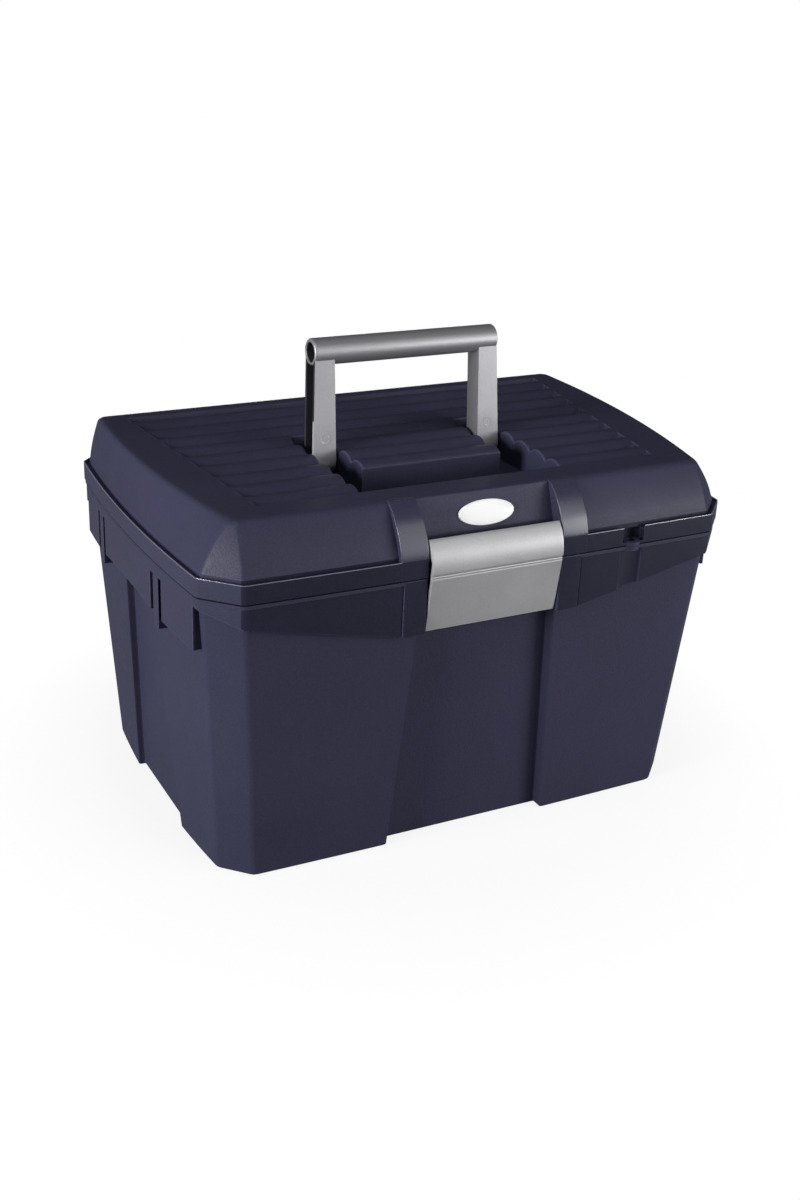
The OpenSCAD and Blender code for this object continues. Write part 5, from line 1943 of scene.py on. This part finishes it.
@dataclass(frozen=True)
class BadgeWhite(Finish):
    """Blank white face under a clear dome."""

    colour: Point = (0.93, 0.93, 0.93)

    def shade(self, recipe: Recipe) -> Socket:
        """Shader of a glossy white print ground."""
        cloud = recipe.noise(120.0, 3.0, 0.5)
        fine = recipe.noise(900.0, 1.0, 0.5)
        body = recipe.tint(cloud, toned(self.colour, 0.96), toned(self.colour, 1.0))
        rough = 0.2 + (fine - 0.5) * 0.06
        return recipe.node("ShaderNodeBsdfPrincipled", None, {
            "Base Color": body, "Roughness": rough, "Specular IOR Level": 0.4, "Coat Weight": 0.5,
            "Coat Roughness": 0.06})


@dataclass(frozen=True)
class PinSteel(Finish):
    """Drawn steel rod with lines along its length."""

    colour: Point = (0.55, 0.56, 0.58)

    def shade(self, recipe: Recipe) -> Socket:
        """Shader of drawn steel."""
        lines = recipe.noise(2200.0, 2.0, 0.6, (0.02, 1.0, 1.0))
        cloud = recipe.noise(60.0, 3.0, 0.5)
        body = recipe.tint(lines * 0.7 + cloud * 0.3, toned(self.colour, 0.8), toned(self.colour, 1.0))
        rough = 0.24 + lines * 0.2
        bump = recipe.node("ShaderNodeBump", None, {
            "Strength": 0.15, "Distance": 0.00005, "Height": lines}, "Normal")
        return recipe.node("ShaderNodeBsdfPrincipled", None, {
            "Base Color": body, "Roughness": rough, "Metallic": 1.0, "Normal": bump})


@dataclass(frozen=True)
class FloorWhite(Finish):
    """White floor that keeps the shadow under the box and fades to plain white further off."""

    glow: float = 0.84
    fade: Flat = (0.2, 0.32)

    def shade(self, recipe: Recipe) -> Socket:
        """Shader that is white to the camera and a dull grey to everything else."""
        seen = recipe.node("ShaderNodeLightPath", output="Is Camera Ray")
        cloud = recipe.noise(0.7, 2.0, 0.5)
        dull = recipe.tint(cloud, (0.24, 0.24, 0.24, 1.0), (0.28, 0.28, 0.28, 1.0))
        tone = recipe.tint(seen, dull, (0.95, 0.95, 0.95, 1.0))
        ground = recipe.node("ShaderNodeBsdfDiffuse", None, {"Color": tone})
        white = recipe.node("ShaderNodeEmission", None, {"Color": (1.0, 1.0, 1.0, 1.0), "Strength": 1.0})
        away = recipe.node("ShaderNodeVectorMath", {"operation": "LENGTH"}, {0: recipe.place()}, "Value")
        share = seen * recipe.spread(self.glow, 1.0, away, *self.fade)
        return recipe.node("ShaderNodeMixShader", None, {0: share, 1: ground, 2: white})


@dataclass(frozen=True)
class Lamp:
    """Soft rectangular lamp."""

    name: str
    at: Point
    aim: Point
    size: Flat
    power: float


@dataclass
class Studio:
    """Camera at the photograph's viewing angle, white floor and soft light."""

    eye: Point = (-484.8, -919.2, 580.4)
    yaw: float = 0.490816
    pitch: float = 0.411368
    roll: float = 0.044909
    focal: float = 1496.05
    image_h: float = 1200.0
    sensor: float = 36.0
    far: float = 100.0
    floor_size: float = 60.0
    sky: float = 0.05
    lamps: tuple[Lamp, ...] = (
        Lamp("left", (-2.15, -0.35, 0.6), (0.0, 0.0, 0.15), (0.9, 0.9), 61.0),
        Lamp("right", (1.05, -0.95, 0.36), (0.0, 0.0, 0.15), (0.6, 0.6), 13.0),
        Lamp("front", (0.95, -1.8, 1.15), (0.0, 0.0, 0.2), (1.0, 1.9), 10.0),
        Lamp("top", (-0.4, -0.6, 2.1), (0.0, 0.0, 0.2), (1.0, 1.0), 8.0),
        Lamp("back", (0.5, 1.5, 0.12), (0.0, 0.0, 0.12), (1.4, 0.2), 6.0),
    )

    def camera(self) -> bpy.types.Object:
        """Camera fitted to the photograph."""
        ahead = Vector((math.sin(self.yaw) * math.cos(self.pitch), math.cos(self.yaw) * math.cos(self.pitch),
                        -math.sin(self.pitch)))
        side = Vector((math.cos(self.yaw), -math.sin(self.yaw), 0.0))
        up = side.cross(ahead)
        right = side * math.cos(self.roll) + up * math.sin(self.roll)
        above = up * math.cos(self.roll) - side * math.sin(self.roll)
        Bench.clear()
        bpy.ops.object.camera_add()
        made = bpy.context.object
        made.name = "camera"
        turn = Matrix((right, above, -ahead)).transposed().to_4x4()
        made.matrix_world = Matrix.Translation(Vector(self.eye) * MM) @ turn
        made.data.sensor_fit = "VERTICAL"
        made.data.sensor_height = self.sensor
        made.data.lens = self.sensor * self.focal / self.image_h
        made.data.clip_end = self.far
        bpy.context.scene.camera = made
        return made

    def floor(self) -> bpy.types.Object:
        """Wide white floor."""
        Bench.clear()
        bpy.ops.mesh.primitive_plane_add(size=self.floor_size)
        made = bpy.context.object
        made.name = made.data.name = "floor"
        FloorWhite("floor_white").put_on(made)
        return made

    def light(self) -> None:
        """Soft lamps, and a pale room whose light is even."""
        for lamp in self.lamps:
            Bench.clear()
            way = Vector(lamp.aim) - Vector(lamp.at)
            turn = way.to_track_quat("-Z", "Y").to_euler()
            bpy.ops.object.light_add(type="AREA", location=lamp.at, rotation=turn)
            made = bpy.context.object
            made.name = made.data.name = lamp.name
            made.data.shape = "RECTANGLE"
            made.data.size, made.data.size_y = lamp.size
            made.data.energy = lamp.power
        world = bpy.data.worlds.new("studio")
        bpy.context.scene.world = world
        world.use_nodes = True
        recipe = Recipe(world.node_tree)
        seen = recipe.node("ShaderNodeLightPath", output="Is Camera Ray")
        strength = self.sky + seen * (1.0 - self.sky)
        room = recipe.node("ShaderNodeBackground", None, {
            "Color": (1.0, 1.0, 1.0, 1.0), "Strength": strength})
        recipe.node("ShaderNodeOutputWorld", None, {"Surface": room})

    def build(self) -> None:
        """Set up the studio."""
        self.camera()
        self.floor()
        self.light()
        bpy.context.scene.view_settings.view_transform = "Standard"


def dress_nodes() -> None:
    """Dress the CAD nodes that stay: the pins and the padlock tabs."""
    steel, navy = PinSteel("steel_drawn"), NavyPlastic("navy_tabs")
    for name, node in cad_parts.items():
        if "pin" in name:
            steel.put_on(node)
        elif name.startswith("padlock"):
            navy.put_on(node)


def main() -> None:
    """Build the box piece by piece, dress it and set up the studio."""
    logging.basicConfig(level=logging.INFO, format="%(name)s: %(message)s")
    navy = NavyPlastic("navy_grained")
    smooth = NavyPlastic("navy_smooth", colour=(0.036, 0.0357, 0.066), rough=0.36, grain=0.12)
    # Darker copy of the navy, painted as shade on front-facing faces.
    front = NavyPlastic("navy_front_painted_shade", colour=(0.017, 0.0168, 0.034), rough=0.36, grain=0.12)
    # Near-black navy painted as shade in the parting gap between lid and tub.
    seam_shade = NavyPlastic("navy_seam_painted_shade", colour=(0.006, 0.006, 0.012), rough=0.6, specular=0.05, edge_highlight_strength=0.0)
    gloss = NavyPlastic("navy_gloss", rough=0.26, grain=0.03, specular=0.7, edge_highlight_strength=0.15, mottle=0.25)
    silver = SilverPlastic("silver_satin")
    legs = SilverPlastic("silver_legs", colour=(0.37, 0.37, 0.388), metal=0.15)
    # The grip's silver is darker than the legs' as painted shade on one moulding; its stronger metallic gloss
    # and lengthwise flow lines are real.
    metal = SilverPlastic("silver_grip_painted_shade", colour=(0.3, 0.3, 0.315), metal=0.6, flow=(0.08, 1.0, 1.0))
    # Near-black silver painted as shade in the handle's bores and channels.
    cavity_shade = SilverPlastic("silver_painted_cavity_shade", colour=(0.03, 0.03, 0.038), metal=0.1)
    # Lighter navy painted as a highlight on the flange's lip; its lower roughness and higher specular are
    # real.
    rim = NavyPlastic("navy_rim_painted_highlight", colour=(0.11, 0.11, 0.155), rough=0.26, grain=0.05, specular=0.8, edge_highlight_strength=0.3)
    parts = (Tub(navy, smooth, front, seam_shade), Lid(navy, gloss, smooth, front, rim, seam_shade), Latch(silver),
             Handle(legs, metal, cavity_shade), Badge(BadgeWhite("badge_gloss")), Tray(navy))
    for part in parts:
        piece = part.build()
        # Marks the edges where the finishes paint a highlight.
        mark_painted_highlight_edges(piece)
        LOG.info("%s: %d faces", piece.name, len(piece.data.polygons))
    dress_nodes()
    Studio().build()


if __name__ == "__main__":
    main()
